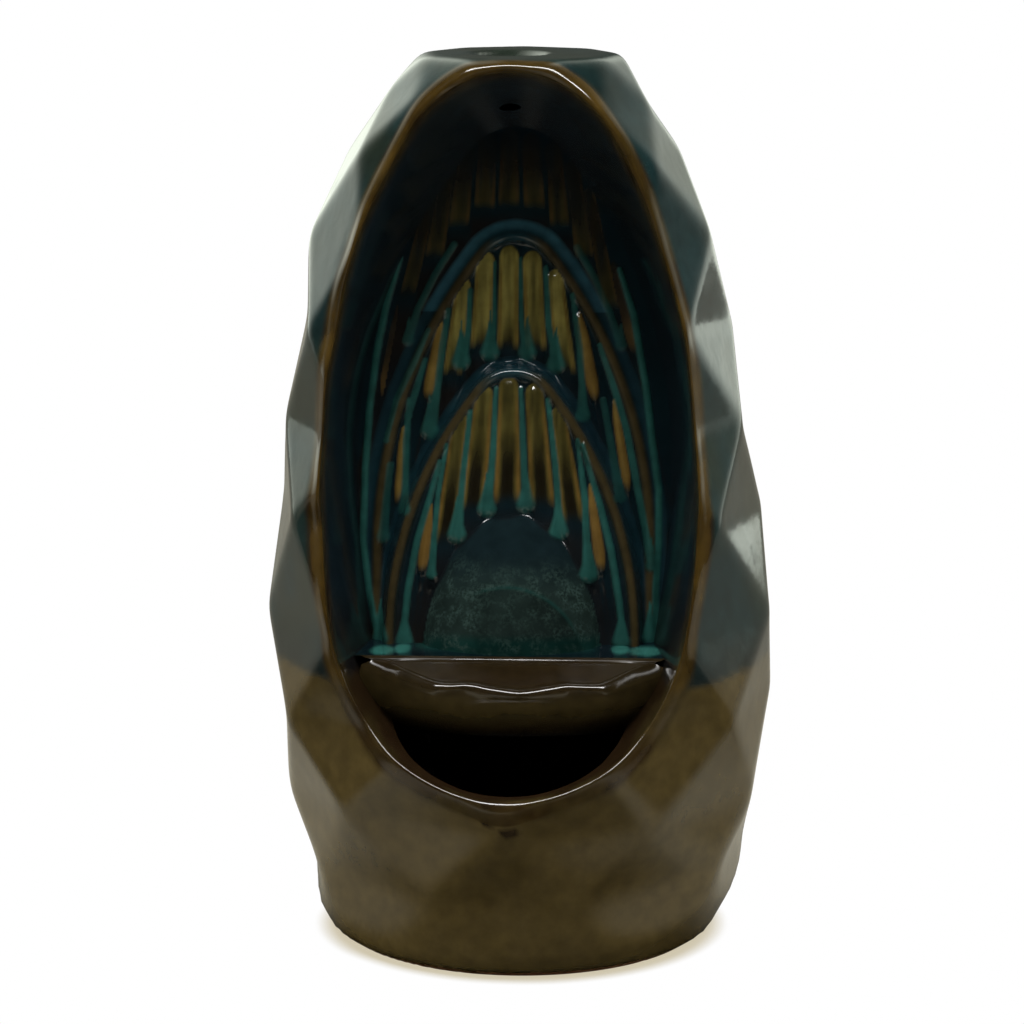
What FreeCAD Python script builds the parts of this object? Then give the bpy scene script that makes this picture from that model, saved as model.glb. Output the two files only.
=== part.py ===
import FreeCAD, Part
import math
import os

Vector = FreeCAD.Vector
Placement = FreeCAD.Placement
Rotation = FreeCAD.Rotation
AXIS_X = Vector(1, 0, 0)
NODE = "burner_body"

# Driving sizes, in millimetres and degrees. The object stands on Z = 0 and its opening faces -Y.
SIZES = (
    # The outside: a tall egg with a flat top, cut into soft diamond facets
    ("height", 211, "foot to top"),
    ("facet_count", 9, "facets round the body"),
    ("facet_turn", -73, "direction of one corner of the first row"),
    ("facet_stray", 1, "how far the hand-cut corners stray, as a share"),
    ("depth_share", 0.96, "front-to-back size of the body over its width"),
    ("low_level", 18, "height of the lowest row of corners"),
    ("low_radius", 53, "radius there"),
    ("low_offset", 0.9, "sideways offset of the body there"),
    ("belly_level", 62, "height of the widest place"),
    ("belly_radius", 60.3, "radius there"),
    ("belly_offset", 0.3, "sideways offset there"),
    ("waist_level", 104, "height of the middle"),
    ("waist_radius", 58.4, "radius there"),
    ("waist_offset", -0.8, "sideways offset there"),
    ("shoulder_level", 150, "height of the shoulder"),
    ("shoulder_radius", 51.2, "radius there"),
    ("shoulder_offset", -2, "sideways offset there"),
    ("neck_level", 190, "height of the neck"),
    ("neck_radius", 39.2, "radius there"),
    ("neck_offset", -2, "sideways offset there"),
    ("crown_radius", 24, "radius of the flat top"),
    ("crown_offset", -0.5, "sideways offset of the flat top"),
    ("foot_radius", 45.5, "radius of the round foot"),
    ("foot_chamfer", 2.4, "slope of the foot's outer edge"),
    ("foot_flare", 62, "steepness of the turned wall above the foot"),
    ("foot_ring", 7, "width of the ring that the body stands on"),
    ("foot_hollow", 1.2, "depth of the hollow under the foot"),
    # The walls
    ("wall", 5, "thickness of the cast wall"),
    ("bottom_wall", 6.5, "thickness of the bottom"),
    ("cavity_top", 186, "top of the hollow inside"),
    # The egg-shaped opening, measured in the leaning plane of the panel behind it
    ("recess_shift", -1.8, "sideways place of the opening"),
    ("panel_lean", 10, "lean of the panel behind the opening"),
    ("panel_depth", -7, "Y of the panel's plane at the ledge level"),
    ("ledge_level", 70, "height from which the relief is measured"),
    ("rim_reach", 39.5, "rim plane in front of the panel's plane"),
    ("rim_half", 45.4, "half of the opening's width at the rim"),
    ("rim_widest", 36.6, "height of that width above the ledge level"),
    ("rim_top", 133.6, "top of the opening above the ledge level"),
    ("rim_bottom", 32.6, "bottom of the opening below the ledge level"),
    ("rim_top_radius", 27, "arc at the top of the opening"),
    ("rim_bottom_radius", 42, "arc at the bottom of the opening"),
    ("rim_width", 3, "width of the rounded rim"),
    ("rim_proud", 0.9, "height of the rim above the facets"),
    # The panel at the back of the recess
    ("panel_half", 37.3, "half of the panel's width"),
    ("panel_widest", 45, "height of that width above the ledge level"),
    ("panel_top", 123.9, "top of the panel above the ledge level"),
    ("panel_bottom", 25, "bottom of the panel below the ledge level"),
    ("panel_top_radius", 13, "arc at the top of the panel"),
    ("panel_bottom_radius", 34, "arc at the bottom of the panel"),
    ("niche_depth", 4, "step from the recess wall down to the panel"),
    # The middle and front arches, which stand in front of each other like steps
    ("tier_step", 5, "step from one arch to the next"),
    ("shelf_run", 3.2, "width of the slope on top of each step"),
    ("middle_top", 98.8, "top of the middle arch"),
    ("middle_half", 33.2, "half of its width"),
    ("middle_spring", 75, "from its top down to its full width"),
    ("middle_top_radius", 11, "arc at its top"),
    ("front_top", 66.2, "top of the front arch"),
    ("front_half", 29.8, "half of its width"),
    ("front_spring", 64, "from its top down to its full width"),
    ("front_top_radius", 11, "arc at its top"),
    ("bead_radius", 1.25, "round bead along each arch"),
    # The upright ribs on the three steps
    ("rib_pitch", 5.5, "spacing of the ribs at their tops"),
    ("rib_pitch_front", 6.3, "spacing on the front arch"),
    ("rib_top_radius", 3, "radius at a rib's top"),
    ("rib_foot_radius", 4.3, "radius at a rib's foot"),
    ("rib_proud", 1.7, "height of a rib above its ground"),
    ("rib_gap", 1.6, "from a rib's top to the arch above it"),
    ("rib_splay_back", 0.09, "outward lean of the back ribs for each place from the middle"),
    ("rib_splay_middle", 0.1, "the same on the middle arch"),
    ("rib_splay_front", 0.07, "the same on the front arch"),
    ("rib_splay_limit", 0.28, "most outward lean"),
    ("rib_foot_back", 58, "foot of the back ribs above the ledge level"),
    ("rib_foot_middle", 34, "foot of the middle ribs above the ledge level"),
    ("rib_foot_front", 14, "foot of the front ribs above the ledge level"),
    # The smooth mound, the ledge and the wavy lip
    ("mound_half", 21.5, "half of the mound's width"),
    ("mound_top", 32, "top of the mound above the ledge level"),
    ("mound_sink", 6, "middle of the mound below the ledge level"),
    ("mound_bulge", 12, "how far the mound stands out"),
    ("ledge_rise", 2.2, "top of the ledge above the ledge level"),
    ("brink", 27, "front edge of the level ledge, from the body's axis"),
    ("lip_half", 33.5, "half of the lip's width"),
    ("lip_flare", 6.5, "width that the ledge gains behind the lip"),
    ("lip_reach", 12, "how far the lip stands out past the brink"),
    ("lip_slope", 18.7, "downward slope of the lip"),
    ("lip_wave", 0.9, "height of the waves of the lip's edge"),
    ("lip_wavelength", 19.5, "length of those waves"),
    ("lip_thick", 1.2, "thickness of the lip's edge"),
    ("belly_drop", 18.5, "depth of the rounded underside below that edge"),
    # The smoke hole and the dished seat on the flat top
    ("hole_diameter", 5, "smoke hole"),
    ("hole_place", -2.8, "sideways place of the smoke hole"),
    ("seat_diameter", 18, "dished seat round the hole"),
    ("seat_depth", 1.2, "depth of that seat"),
)

# Rows of facet corners from the foot to the top; the second row is the named low level.
ROW_LEVELS = (-10, None, 36, 57, 80, 104, 126, 148, 169, 189, 202)
CORNER_DRIFT = (3, 2.2, 0.8)
RIM_POINTS = 56
RIM_RINGS = 40
RIM_SIDES = 8
BEAD_RINGS = 33
BEAD_SIDES = 8
CAVITY_SIDES = 20
DOME_ROWS = 8
DOME_SIDES = 24

# A rib's blunt nose: shares of its radius along the rib and across it.
RIB_NOSE = ((0, 1), (0.5, 0.87), (0.87, 0.5), (1, 0.12))
RIB_SIDES = 16

# The lip's rounded underside as level outlines, from its edge to its lowest point: shares of its depth.
LIP_LEVELS = (0, 0.2, 0.4, 0.6, 0.76, 0.88, 0.96, 0.995)
LIP_STEPS = 11

doc = FreeCAD.newDocument("incense_burner")
sheet = doc.addObject("Spreadsheet::Sheet", "Sizes")
for line, (alias, value, note) in enumerate(SIZES, start=1):
    sheet.set("A%d" % line, alias)
    sheet.set("B%d" % line, str(value))
    sheet.set("C%d" % line, note)
    sheet.setAlias("B%d" % line, alias)
doc.recompute()


def size(alias):
    return float(sheet.get(alias))


def feature(name, shape):
    made = doc.addObject("Part::Feature", name)
    made.Shape = shape
    return made


def bound(kind, name, **formulas):
    """A Part primitive whose properties follow cells of the sheet."""
    made = doc.addObject(kind, name)
    for prop, formula in formulas.items():
        made.setExpression(prop, formula)
    return made


def joined(kind, name, pieces):
    made = doc.addObject(kind, name)
    made.Shapes = pieces
    return made


def cut(name, base, tool):
    made = doc.addObject("Part::Cut", name)
    made.Base = base
    made.Tool = tool
    return made


# The leaning frame of the relief: X across, Y up the panel, Z out towards the viewer
PANEL = Placement(
    Vector(size("recess_shift"), size("panel_depth"), size("ledge_level")),
    Rotation(AXIS_X, 90 - size("panel_lean")),
)


def on_panel(shape):
    moved = shape.copy()
    moved.Placement = PANEL.multiply(shape.Placement)
    return moved


# The faceted outside

def stations(suffix):
    names = ("low", "belly", "waist", "shoulder", "neck")
    marks = [(size(name + "_level"), size(name + "_" + suffix)) for name in names]
    return marks + [(size("height"), size("crown_" + suffix))]


def along_body(suffix, level):
    """Smooth value of a body size between its named stations."""
    marks = stations(suffix)
    level = min(level, marks[-1][0])
    spline = Part.BSplineCurve()
    spline.interpolate([Vector(value, 0, height) for height, value in marks])
    low, high = spline.FirstParameter, spline.LastParameter
    if level <= marks[0][0]:
        start, slope = spline.value(low), spline.tangent(low)[0]
        return start.x + 0.4 * slope.x / slope.z * (level - start.z)
    for _ in range(40):
        middle = (low + high) / 2
        if spline.value(middle).z < level:
            low = middle
        else:
            high = middle
    return spline.value(low).x


def stray(row, place, channel):
    """A fixed value between -1 and 1, different for each corner of the hand-cut facets."""
    wave = math.sin(12.9898 * (row + 1) + 78.233 * (place + 1) + 37.719 * channel) * 43.758
    return (2 * (wave - math.floor(wave)) - 1) * size("facet_stray")


def corner_rows():
    count = int(size("facet_count"))
    levels = [size("low_level") if level is None else level for level in ROW_LEVELS]
    levels.append(size("height"))
    turn_drift, level_drift, radius_drift = CORNER_DRIFT
    rows = []
    for row, level in enumerate(levels):
        free = 0 if row in (0, len(levels) - 1) else 1
        corners = []
        for place in range(count):
            height = level + free * level_drift * stray(row, place, 1)
            turn = size("facet_turn") + 360 / count * (place + 0.5 * ((row + 1) % 2))
            turn = math.radians(turn + turn_drift * stray(row, place, 2))
            radius = along_body("radius", height) + free * radius_drift * stray(row, place, 3)
            across = along_body("offset", height) + radius * math.cos(turn)
            corners.append(Vector(across, radius * size("depth_share") * math.sin(turn), height))
        rows.append(corners)
    return rows


def facet_triangles(rows):
    """Two triangles for each corner and row; every second row is turned by half a step."""
    triangles = []
    for row in range(len(rows) - 1):
        low, high = rows[row], rows[row + 1]
        for i in range(len(low)):
            j = (i + 1) % len(low)
            if row % 2:
                triangles += [(low[i], low[j], high[i]), (low[j], high[j], high[i])]
            else:
                triangles += [(low[i], high[j], high[i]), (low[i], low[j], high[j])]
    for ring, turned in ((rows[0], True), (rows[-1], False)):
        for i in range(1, len(ring) - 1):
            fan = (ring[0], ring[i], ring[i + 1])
            triangles.append(fan[::-1] if turned else fan)
    return triangles


def polygon_face(points):
    return Part.Face(Part.makePolygon(list(points) + [points[0]]))


FACETS = facet_triangles(corner_rows())
facet_block = feature("facet_block", Part.Solid(Part.Shell([polygon_face(facet) for facet in FACETS])))

# The turned foot: a flaring cone with a sloped edge, which trims the facets near the table
foot_cone = bound(
    "Part::Cone", "foot_cone",
    Radius1="Sizes.foot_radius",
    Radius2="Sizes.foot_radius + 1.2 * Sizes.height / tan(Sizes.foot_flare)",
    Height="1.2 * Sizes.height",
)
doc.recompute()
foot_edges = [
    (place, size("foot_chamfer"), size("foot_chamfer"))
    for place, edge in enumerate(foot_cone.Shape.Edges, start=1)
    if edge.BoundBox.ZMax < 1e-3
]
turned_foot = doc.addObject("Part::Chamfer", "turned_foot")
turned_foot.Base = foot_cone
turned_foot.Edges = foot_edges
outside = joined("Part::MultiCommon", "outside", [facet_block, turned_foot])


# Outlines made of arcs, drawn in the panel's frame

def side_radius(half, reach, end_radius):
    """Radius of the long side arc that is upright at half and runs smoothly into the end arc."""
    return (half ** 2 + (reach - end_radius) ** 2 - end_radius ** 2) / (2 * (half - end_radius))


def arc(centre, radius, start, end, out):
    points = []
    for turn in (start, (start + end) / 2, end):
        points.append(Vector(centre[0] + radius * math.cos(turn), centre[1] + radius * math.sin(turn), out))
    return Part.Arc(*points).toShape()


def half_outline(half, middle, reach, end_radius, out):
    """Arcs from the right side over the end to the left side; a negative reach goes down."""
    way = 1 if reach > 0 else -1
    side = side_radius(half, abs(reach), end_radius)
    meet = math.atan2(abs(reach) - end_radius, side - half)
    top = middle + reach - way * end_radius
    right, left, end = (half - side, middle), (side - half, middle), (0, top)
    return [
        arc(right, side, 0, way * meet, out),
        arc(end, end_radius, way * meet, way * math.pi / 2, out),
        arc(end, end_radius, way * math.pi / 2, way * (math.pi - meet), out),
        arc(left, side, way * (math.pi - meet), way * math.pi, out),
    ]


def egg_wire(egg, out):
    """Closed egg outline: half width, its height, top, bottom and the two end radii."""
    half, middle, top, bottom, top_radius, bottom_radius = egg
    upper = half_outline(half, middle, top - middle, top_radius, out)
    lower = half_outline(half, middle, bottom - middle, bottom_radius, out)
    return Part.Wire(upper + lower[::-1])


PANEL_EGG = (
    size("panel_half"), size("panel_widest"), size("panel_top"), -size("panel_bottom"),
    size("panel_top_radius"), size("panel_bottom_radius"),
)
RIM_EGG = (
    size("rim_half"), size("rim_widest"), size("rim_top"), -size("rim_bottom"),
    size("rim_top_radius"), size("rim_bottom_radius"),
)


def grown(egg, extra):
    half, middle, top, bottom, top_radius, bottom_radius = egg
    return (half + extra, middle, top + extra, bottom - extra, top_radius + extra, bottom_radius + extra)


def recess_block(extra):
    """The space of the recess, grown by extra on every side and run out past the rim."""
    run_out = 1.6
    front = [p + (r - p) * run_out for p, r in zip(PANEL_EGG, RIM_EGG)]
    flare = Part.makeLoft(
        [egg_wire(grown(PANEL_EGG, extra), 0), egg_wire(grown(front, extra), size("rim_reach") * run_out)],
        True, True,
    )
    niche = Part.Face(egg_wire(grown(PANEL_EGG, extra), 0))
    niche = niche.extrude(Vector(0, 0, -size("niche_depth") - extra))
    return on_panel(flare.fuse(niche))


# The hollow inside the casting, and the recess wall that stands in it
INWARD = "Sizes.depth_share * cos(180 / Sizes.facet_count)"
CAVITY = (
    ("floor", "Sizes.bottom_wall", "Sizes.foot_radius", "1", "low"),
    ("low", "Sizes.low_level", "Sizes.low_radius", INWARD, "low"),
    ("belly", "Sizes.belly_level", "Sizes.belly_radius", INWARD, "belly"),
    ("waist", "Sizes.waist_level", "Sizes.waist_radius", INWARD, "waist"),
    ("shoulder", "Sizes.shoulder_level", "Sizes.shoulder_radius", INWARD, "shoulder"),
    ("neck", "Sizes.cavity_top", "Sizes.neck_radius", INWARD, "neck"),
)
rings = []
for name, level, radius, share, station in CAVITY:
    ring = bound("Part::RegularPolygon", "cavity_" + name,
                 Circumradius="%s * %s - Sizes.wall" % (radius, share))
    ring.Polygon = CAVITY_SIDES
    ring.setExpression("Placement.Base.x", "Sizes.%s_offset" % station)
    ring.setExpression("Placement.Base.z", level)
    rings.append(ring)
cavity = doc.addObject("Part::Loft", "cavity")
cavity.Sections = rings
cavity.Solid = True
cavity.Ruled = True

HOOD_FOOT = -12
hood_space = Part.makeBox(200, 300, 200, Vector(-100, HOOD_FOOT, -60))
hood = feature("recess_wall", recess_block(size("wall")).common(on_panel(hood_space)))
hollow = cut("hollow", cavity, hood)
recess = feature("recess", recess_block(0))
voids = joined("Part::MultiFuse", "voids", [hollow, recess])
shell = cut("shell", outside, voids)


# The stepped arches with their beads

BACK_GROUND = -size("niche_depth")
MIDDLE_GROUND = BACK_GROUND + size("tier_step")
FRONT_GROUND = MIDDLE_GROUND + size("tier_step")
ARCH_FOOT = -8
BACK_ARCH = (
    size("panel_top"), size("panel_half"), size("panel_top") - size("panel_widest"), size("panel_top_radius"),
)
MIDDLE_ARCH = (size("middle_top"), size("middle_half"), size("middle_spring"), size("middle_top_radius"))
FRONT_ARCH = (size("front_top"), size("front_half"), size("front_spring"), size("front_top_radius"))


def arch_edges(arch, inset, foot, out):
    """Open arch from its right foot over the top to its left foot."""
    top, half, spring, top_radius = arch
    half, top, top_radius = half - inset, top - inset, top_radius - inset
    middle = top + inset - spring
    legs = half_outline(half, middle, top - middle, top_radius, out)
    right = Part.makeLine(Vector(half, foot, out), Vector(half, middle, out))
    left = Part.makeLine(Vector(-half, middle, out), Vector(-half, foot, out))
    return [right] + legs + [left]


def arch_wire(arch, inset, foot, out):
    edges = arch_edges(arch, inset, foot, out)
    half = arch[1] - inset
    return Part.Wire(edges + [Part.makeLine(Vector(-half, foot, out), Vector(half, foot, out))])


def step_block(arch, ground):
    """A raised step with a sloping shelf all round its arch."""
    sunk = 2
    depth = size("tier_step") + sunk
    run = size("shelf_run") * depth / size("tier_step")
    back = arch_wire(arch, -run, ARCH_FOOT, ground - depth)
    front = arch_wire(arch, 0, ARCH_FOOT, ground)
    return on_panel(Part.makeLoft([back, front], True, True))


def tube(points, tangents, radius, sides, closed):
    """A many-sided bar through rings set square to its line."""
    rings = []
    for point, tangent in zip(points, tangents):
        across = tangent.cross(Vector(0, 0, 1)).normalize()
        up = across.cross(tangent).normalize()
        turns = [2 * math.pi * (i + 0.5) / sides for i in range(sides)]
        ring = [point + across * (radius * math.cos(t)) + up * (radius * math.sin(t)) for t in turns]
        rings.append(Part.makePolygon(ring + [ring[0]]))
    return Part.makeLoft(rings, True, True, closed)


def bead(arch, ground):
    radius = size("bead_radius")
    line = Part.Wire(arch_edges(arch, 0.5 * radius, ARCH_FOOT, ground + 0.2 * radius))
    points = line.discretize(Number=BEAD_RINGS)
    ahead = points[1:] + [points[-1]]
    behind = [points[0]] + points[:-1]
    tangents = [a - b for a, b in zip(ahead, behind)]
    return on_panel(tube(points, tangents, radius, BEAD_SIDES, False))


relief = [
    feature("middle_step", step_block(MIDDLE_ARCH, MIDDLE_GROUND)),
    feature("front_step", step_block(FRONT_ARCH, FRONT_GROUND)),
    feature("middle_bead", bead(MIDDLE_ARCH, MIDDLE_GROUND)),
    feature("front_bead", bead(FRONT_ARCH, FRONT_GROUND)),
]


# The upright ribs

def arch_drop(arch, across):
    """How far below its top an arch reaches the given half width."""
    top, half, spring, top_radius = arch
    side = side_radius(half, spring, top_radius)
    meet = math.atan2(spring - top_radius, side - half)
    if across >= half:
        return spring
    if across <= top_radius * math.cos(meet):
        return top_radius - math.sqrt(top_radius ** 2 - across ** 2)
    return spring - math.sqrt(side ** 2 - (across + side - half) ** 2)


def tapered_bar(profile):
    """A many-sided bar along Z through rings given as height and radius."""
    turns = [math.radians(360 / RIB_SIDES * (i + 0.5)) for i in range(RIB_SIDES)]
    rings = [
        [Vector(radius * math.cos(turn), radius * math.sin(turn), height) for turn in turns]
        for height, radius in profile
    ]
    faces = [polygon_face(rings[0][::-1]), polygon_face(rings[-1])]
    for low, high in zip(rings, rings[1:]):
        faces += [polygon_face([low[i - 1], low[i], high[i], high[i - 1]]) for i in range(RIB_SIDES)]
    return Part.Solid(Part.Shell(faces))


def rib(arch, ground, pitch, splay, foot, place):
    """A tapered round rib with a blunt nose, sunk so that only its crown stands out."""
    top_radius, foot_radius, proud = size("rib_top_radius"), size("rib_foot_radius"), size("rib_proud")
    half_crown = math.sqrt(top_radius ** 2 - (top_radius - proud) ** 2)
    across = pitch * place
    head = arch[0] - arch_drop(arch, abs(across) + half_crown) - size("rib_gap") - half_crown
    lean = math.copysign(min(splay * abs(place), size("rib_splay_limit")), place)
    top = Vector(across, head, ground + proud - top_radius)
    end = Vector(across + lean * (head - foot), foot, ground + proud - foot_radius)
    length = (top - end).Length
    profile = [(0, foot_radius)]
    profile += [(length + top_radius * along, top_radius * across) for along, across in RIB_NOSE]
    bar = tapered_bar(profile)
    bar.Placement = Placement(end, Rotation(Vector(0, 0, 1), top - end))
    return bar


RIB_ROWS = (
    ("back_ribs", BACK_ARCH, BACK_GROUND, size("rib_pitch"), size("rib_splay_back"), size("rib_foot_back"), 4),
    ("middle_ribs", MIDDLE_ARCH, MIDDLE_GROUND, size("rib_pitch"), size("rib_splay_middle"),
     size("rib_foot_middle"), 3),
    ("front_ribs", FRONT_ARCH, FRONT_GROUND, size("rib_pitch_front"), size("rib_splay_front"),
     size("rib_foot_front"), 3),
)
for name, arch, ground, pitch, splay, foot, side_ribs in RIB_ROWS:
    places = range(-side_ribs, side_ribs + 1)
    ribs = [rib(arch, ground, pitch, splay, foot, place) for place in places]
    relief.append(feature(name, on_panel(ribs[0].fuse(ribs[1:]))))


# The mound, the ledge and the lip

def dome(half, height, bulge):
    """Upper half of a stretched ball made of flat facets, on the X-Z plane with its top on +Y."""
    rings = []
    for row in range(DOME_ROWS):
        rise = math.pi / 2 * row / DOME_ROWS
        turns = [2 * math.pi * i / DOME_SIDES for i in range(DOME_SIDES)]
        rings.append([
            Vector(half * math.cos(rise) * math.cos(t), height * math.sin(rise), bulge * math.cos(rise) * math.sin(t))
            for t in turns
        ])
    faces = [polygon_face(rings[0])]
    for low, high in zip(rings, rings[1:]):
        faces += [polygon_face([low[i], low[i - 1], high[i - 1], high[i]]) for i in range(DOME_SIDES)]
    top = Vector(0, height, 0)
    faces += [polygon_face([rings[-1][i], rings[-1][i - 1], top]) for i in range(DOME_SIDES)]
    return Part.Solid(Part.Shell(faces))


mound = dome(size("mound_half"), size("mound_top") + size("mound_sink"), size("mound_bulge"))
mound.translate(Vector(0, -size("mound_sink"), FRONT_GROUND))
relief.append(feature("mound", on_panel(mound)))

LEDGE = size("ledge_level") + size("ledge_rise")
LIP_EDGE = LEDGE - size("lip_reach") * math.tan(math.radians(size("lip_slope"))) - size("lip_thick")


def lip_outline(depth_share):
    """Level outline of the lip: a wavy front curve, two flaring sides and a straight back."""
    swell = math.sqrt(1 - depth_share ** 2)
    level = LIP_EDGE - depth_share * size("belly_drop")
    half, back = size("lip_half") * swell, size("panel_depth") + 4
    brink = swell * (size("brink") + back)
    points = []
    for step in range(-LIP_STEPS, LIP_STEPS + 1):
        across = step / LIP_STEPS
        bow = size("lip_reach") * swell * (1 - abs(across) ** 2.6)
        wave = math.cos(2 * math.pi * across * size("lip_half") / size("lip_wavelength"))
        wave = wave * size("lip_wave") * (1 - depth_share) * (1 - across ** 6)
        points.append(Vector(across * half, back - brink - bow - wave, level))
    side = half + size("lip_flare") * (1 - depth_share)
    for x, y in ((side, back - 0.75 * brink), (side, back), (-side, back), (-side, back - 0.75 * brink)):
        points.append(Vector(x, y, level))
    points = [point + Vector(size("recess_shift"), 0, 0) for point in points]
    return Part.makePolygon(points + [points[0]])


lip_top = Part.Face(lip_outline(0)).extrude(Vector(0, 0, LEDGE - LIP_EDGE))
lip_belly = Part.makeLoft([lip_outline(share) for share in LIP_LEVELS], True, True)
lip_block = feature("lip_block", lip_top.fuse(lip_belly))
lip_slope = Part.makeBox(200, 100, 60, Vector(-100, -100, 0))
lip_slope.Placement = Placement(Vector(0, -size("brink"), LEDGE), Rotation(AXIS_X, size("lip_slope")))
lip_cutter = feature("lip_cutter", lip_slope)
relief.append(cut("lip", lip_block, lip_cutter))

# Each piece of the relief ends inside the recess wall and is joined to the shell in turn
relief_space = feature("relief_space", recess_block(0.8 * size("wall")))
dressed = shell
for piece in relief:
    trimmed = joined("Part::MultiCommon", piece.Name + "_trimmed", [piece, relief_space])
    dressed = joined("Part::MultiFuse", "shell_with_" + piece.Name, [dressed, trimmed])


# The rounded rim, which follows the facets round the opening

def reach_of_facets(across, up):
    """How far in front of the panel's plane the faceted outside lies."""
    origin = PANEL.multVec(Vector(across, up, 0))
    way = PANEL.Rotation.multVec(Vector(0, 0, 1))
    farthest = 0
    for a, b, c in FACETS:
        normal = (b - a).cross(c - a)
        slope = normal.dot(way)
        if slope <= 1e-9:
            continue
        distance = normal.dot(a - origin) / slope
        hit = origin + way * distance
        inside = all((q - p).cross(hit - p).dot(normal) >= -1e-6 for p, q in ((a, b), (b, c), (c, a)))
        if inside:
            farthest = max(farthest, distance)
    return farthest


def rim_tube():
    """A round bead through rings set square to a smooth line along the opening's edge."""
    radius = 0.5 * size("rim_width") + 0.1
    line = egg_wire(grown(RIM_EGG, 0.5 * size("rim_width")), 0).discretize(Number=RIM_POINTS + 1)[:-1]
    reach = [reach_of_facets(point.x, point.y) for point in line]
    for _ in range(2):
        reach = [
            (reach[i - 1] + 2 * reach[i] + reach[(i + 1) % RIM_POINTS]) / 4 for i in range(RIM_POINTS)
        ]
    spine = Part.BSplineCurve()
    spine.interpolate(
        [Vector(p.x, p.y, out + size("rim_proud") - radius) for p, out in zip(line, reach)],
        PeriodicFlag=True,
    )
    stride = (spine.LastParameter - spine.FirstParameter) / RIM_RINGS
    places = [spine.FirstParameter + i * stride for i in range(RIM_RINGS)]
    points = [spine.value(place) for place in places]
    return on_panel(tube(points, [spine.tangent(place)[0] for place in places], radius, RIM_SIDES, True))


rim = feature("rim", rim_tube())


# The smoke hole, its seat and the hollow under the foot
smoke_hole = bound(
    "Part::Cylinder", "smoke_hole",
    Radius="Sizes.hole_diameter / 2",
    Height="Sizes.height - Sizes.cavity_top",
)
smoke_hole.setExpression("Placement.Base.x", "Sizes.hole_place")
smoke_hole.setExpression("Placement.Base.z", "Sizes.cavity_top + 5")
seat = bound(
    "Part::Cone", "seat",
    Radius1="Sizes.seat_diameter / 2 - Sizes.seat_depth",
    Radius2="Sizes.seat_diameter / 2 + Sizes.seat_depth",
    Height="2 * Sizes.seat_depth",
)
seat.setExpression("Placement.Base.x", "Sizes.hole_place")
seat.setExpression("Placement.Base.z", "Sizes.height - Sizes.seat_depth")
under_foot = bound(
    "Part::Cylinder", "under_foot",
    Radius="Sizes.foot_radius - Sizes.foot_ring",
    Height="2 * Sizes.foot_hollow",
)
under_foot.setExpression("Placement.Base.z", "-Sizes.foot_hollow")
casting = joined("Part::MultiFuse", "casting", [dressed, rim])
openings = joined("Part::MultiFuse", "openings", [smoke_hole, seat, under_foot])
drilled = cut("drilled", casting, openings)
doc.recompute()

# The finished casting, with its origin under the middle of its box
box = drilled.Shape.optimalBoundingBox()
burner_body = feature(NODE, drilled.Shape.copy())
burner_body.Placement = Placement(Vector(-box.Center.x, -box.Center.y, -box.ZMin), Rotation())
doc.recompute()

for thing in doc.Objects:
    if {"Invalid", "Error"} & set(thing.State):
        raise RuntimeError("%s did not compute" % thing.Name)
if burner_body.Shape.isNull() or not burner_body.Shape.isValid() or len(burner_body.Shape.Solids) != 1:
    raise RuntimeError("the casting is not one valid solid")
os.makedirs("parts", exist_ok=True)
burner_body.Shape.exportStep("parts/%s.step" % NODE)
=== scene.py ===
import math

import bpy
import numpy as np
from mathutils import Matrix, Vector


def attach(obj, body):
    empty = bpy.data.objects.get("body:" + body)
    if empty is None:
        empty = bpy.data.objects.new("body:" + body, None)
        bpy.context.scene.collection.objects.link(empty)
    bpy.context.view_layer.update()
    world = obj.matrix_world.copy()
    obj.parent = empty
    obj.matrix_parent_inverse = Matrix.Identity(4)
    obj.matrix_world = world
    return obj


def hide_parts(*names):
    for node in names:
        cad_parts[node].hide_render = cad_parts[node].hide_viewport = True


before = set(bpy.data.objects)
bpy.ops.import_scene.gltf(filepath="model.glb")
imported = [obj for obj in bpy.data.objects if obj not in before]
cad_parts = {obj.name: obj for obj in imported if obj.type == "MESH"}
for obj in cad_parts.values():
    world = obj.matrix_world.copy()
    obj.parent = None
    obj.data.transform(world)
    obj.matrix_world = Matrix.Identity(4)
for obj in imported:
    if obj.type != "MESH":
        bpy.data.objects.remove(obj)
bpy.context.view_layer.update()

# Shape sizes in millimetres, in the frame that the part was drawn in
HEIGHT = 211.0
FACETS = 9
TURN = -73.0
DEPTH_SHARE = 0.96
# Stations of the body: height, radius, how far its middle is to the side
STATIONS = (
    (18, 53, 0.9), (62, 60.3, 0.3), (104, 58.4, -0.8),
    (150, 51.2, -2), (190, 39.2, -2), (HEIGHT, 24, -0.5),
)
# Heights of the facets' corners
ROWS = (-10, 18, 36, 57, 80, 104, 126, 148, 169, 189, 202, HEIGHT)
# How far a corner strays: degrees round the body, height, radius
DRIFT = (3, 2.2, 0.8)
FOOT_RADIUS = 45.5
FOOT_SLOPE = math.tan(math.radians(62))
FOOT_CHAMFER, CHAMFER_SLOPE = 2.2, 1.5
FOOT_ROUND, ROUND_REACH = 0.35, 30
RECESS_SHIFT = -1.8
LEAN = math.radians(10)
PANEL_Y = -7.0
LEDGE_Z = 70.0
RIM_REACH = 39.5
# Egg outlines: half width, its height, top, bottom, top radius, bottom radius
RIM_EGG = (45.4, 36.6, 133.6, -32.6, 27, 42)
PANEL_EGG = (37.3, 45, 123.9, -25, 13, 34)
BACK, MIDDLE, FRONT = -4.0, 1.0, 6.0
SHELF = 3.2
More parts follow.
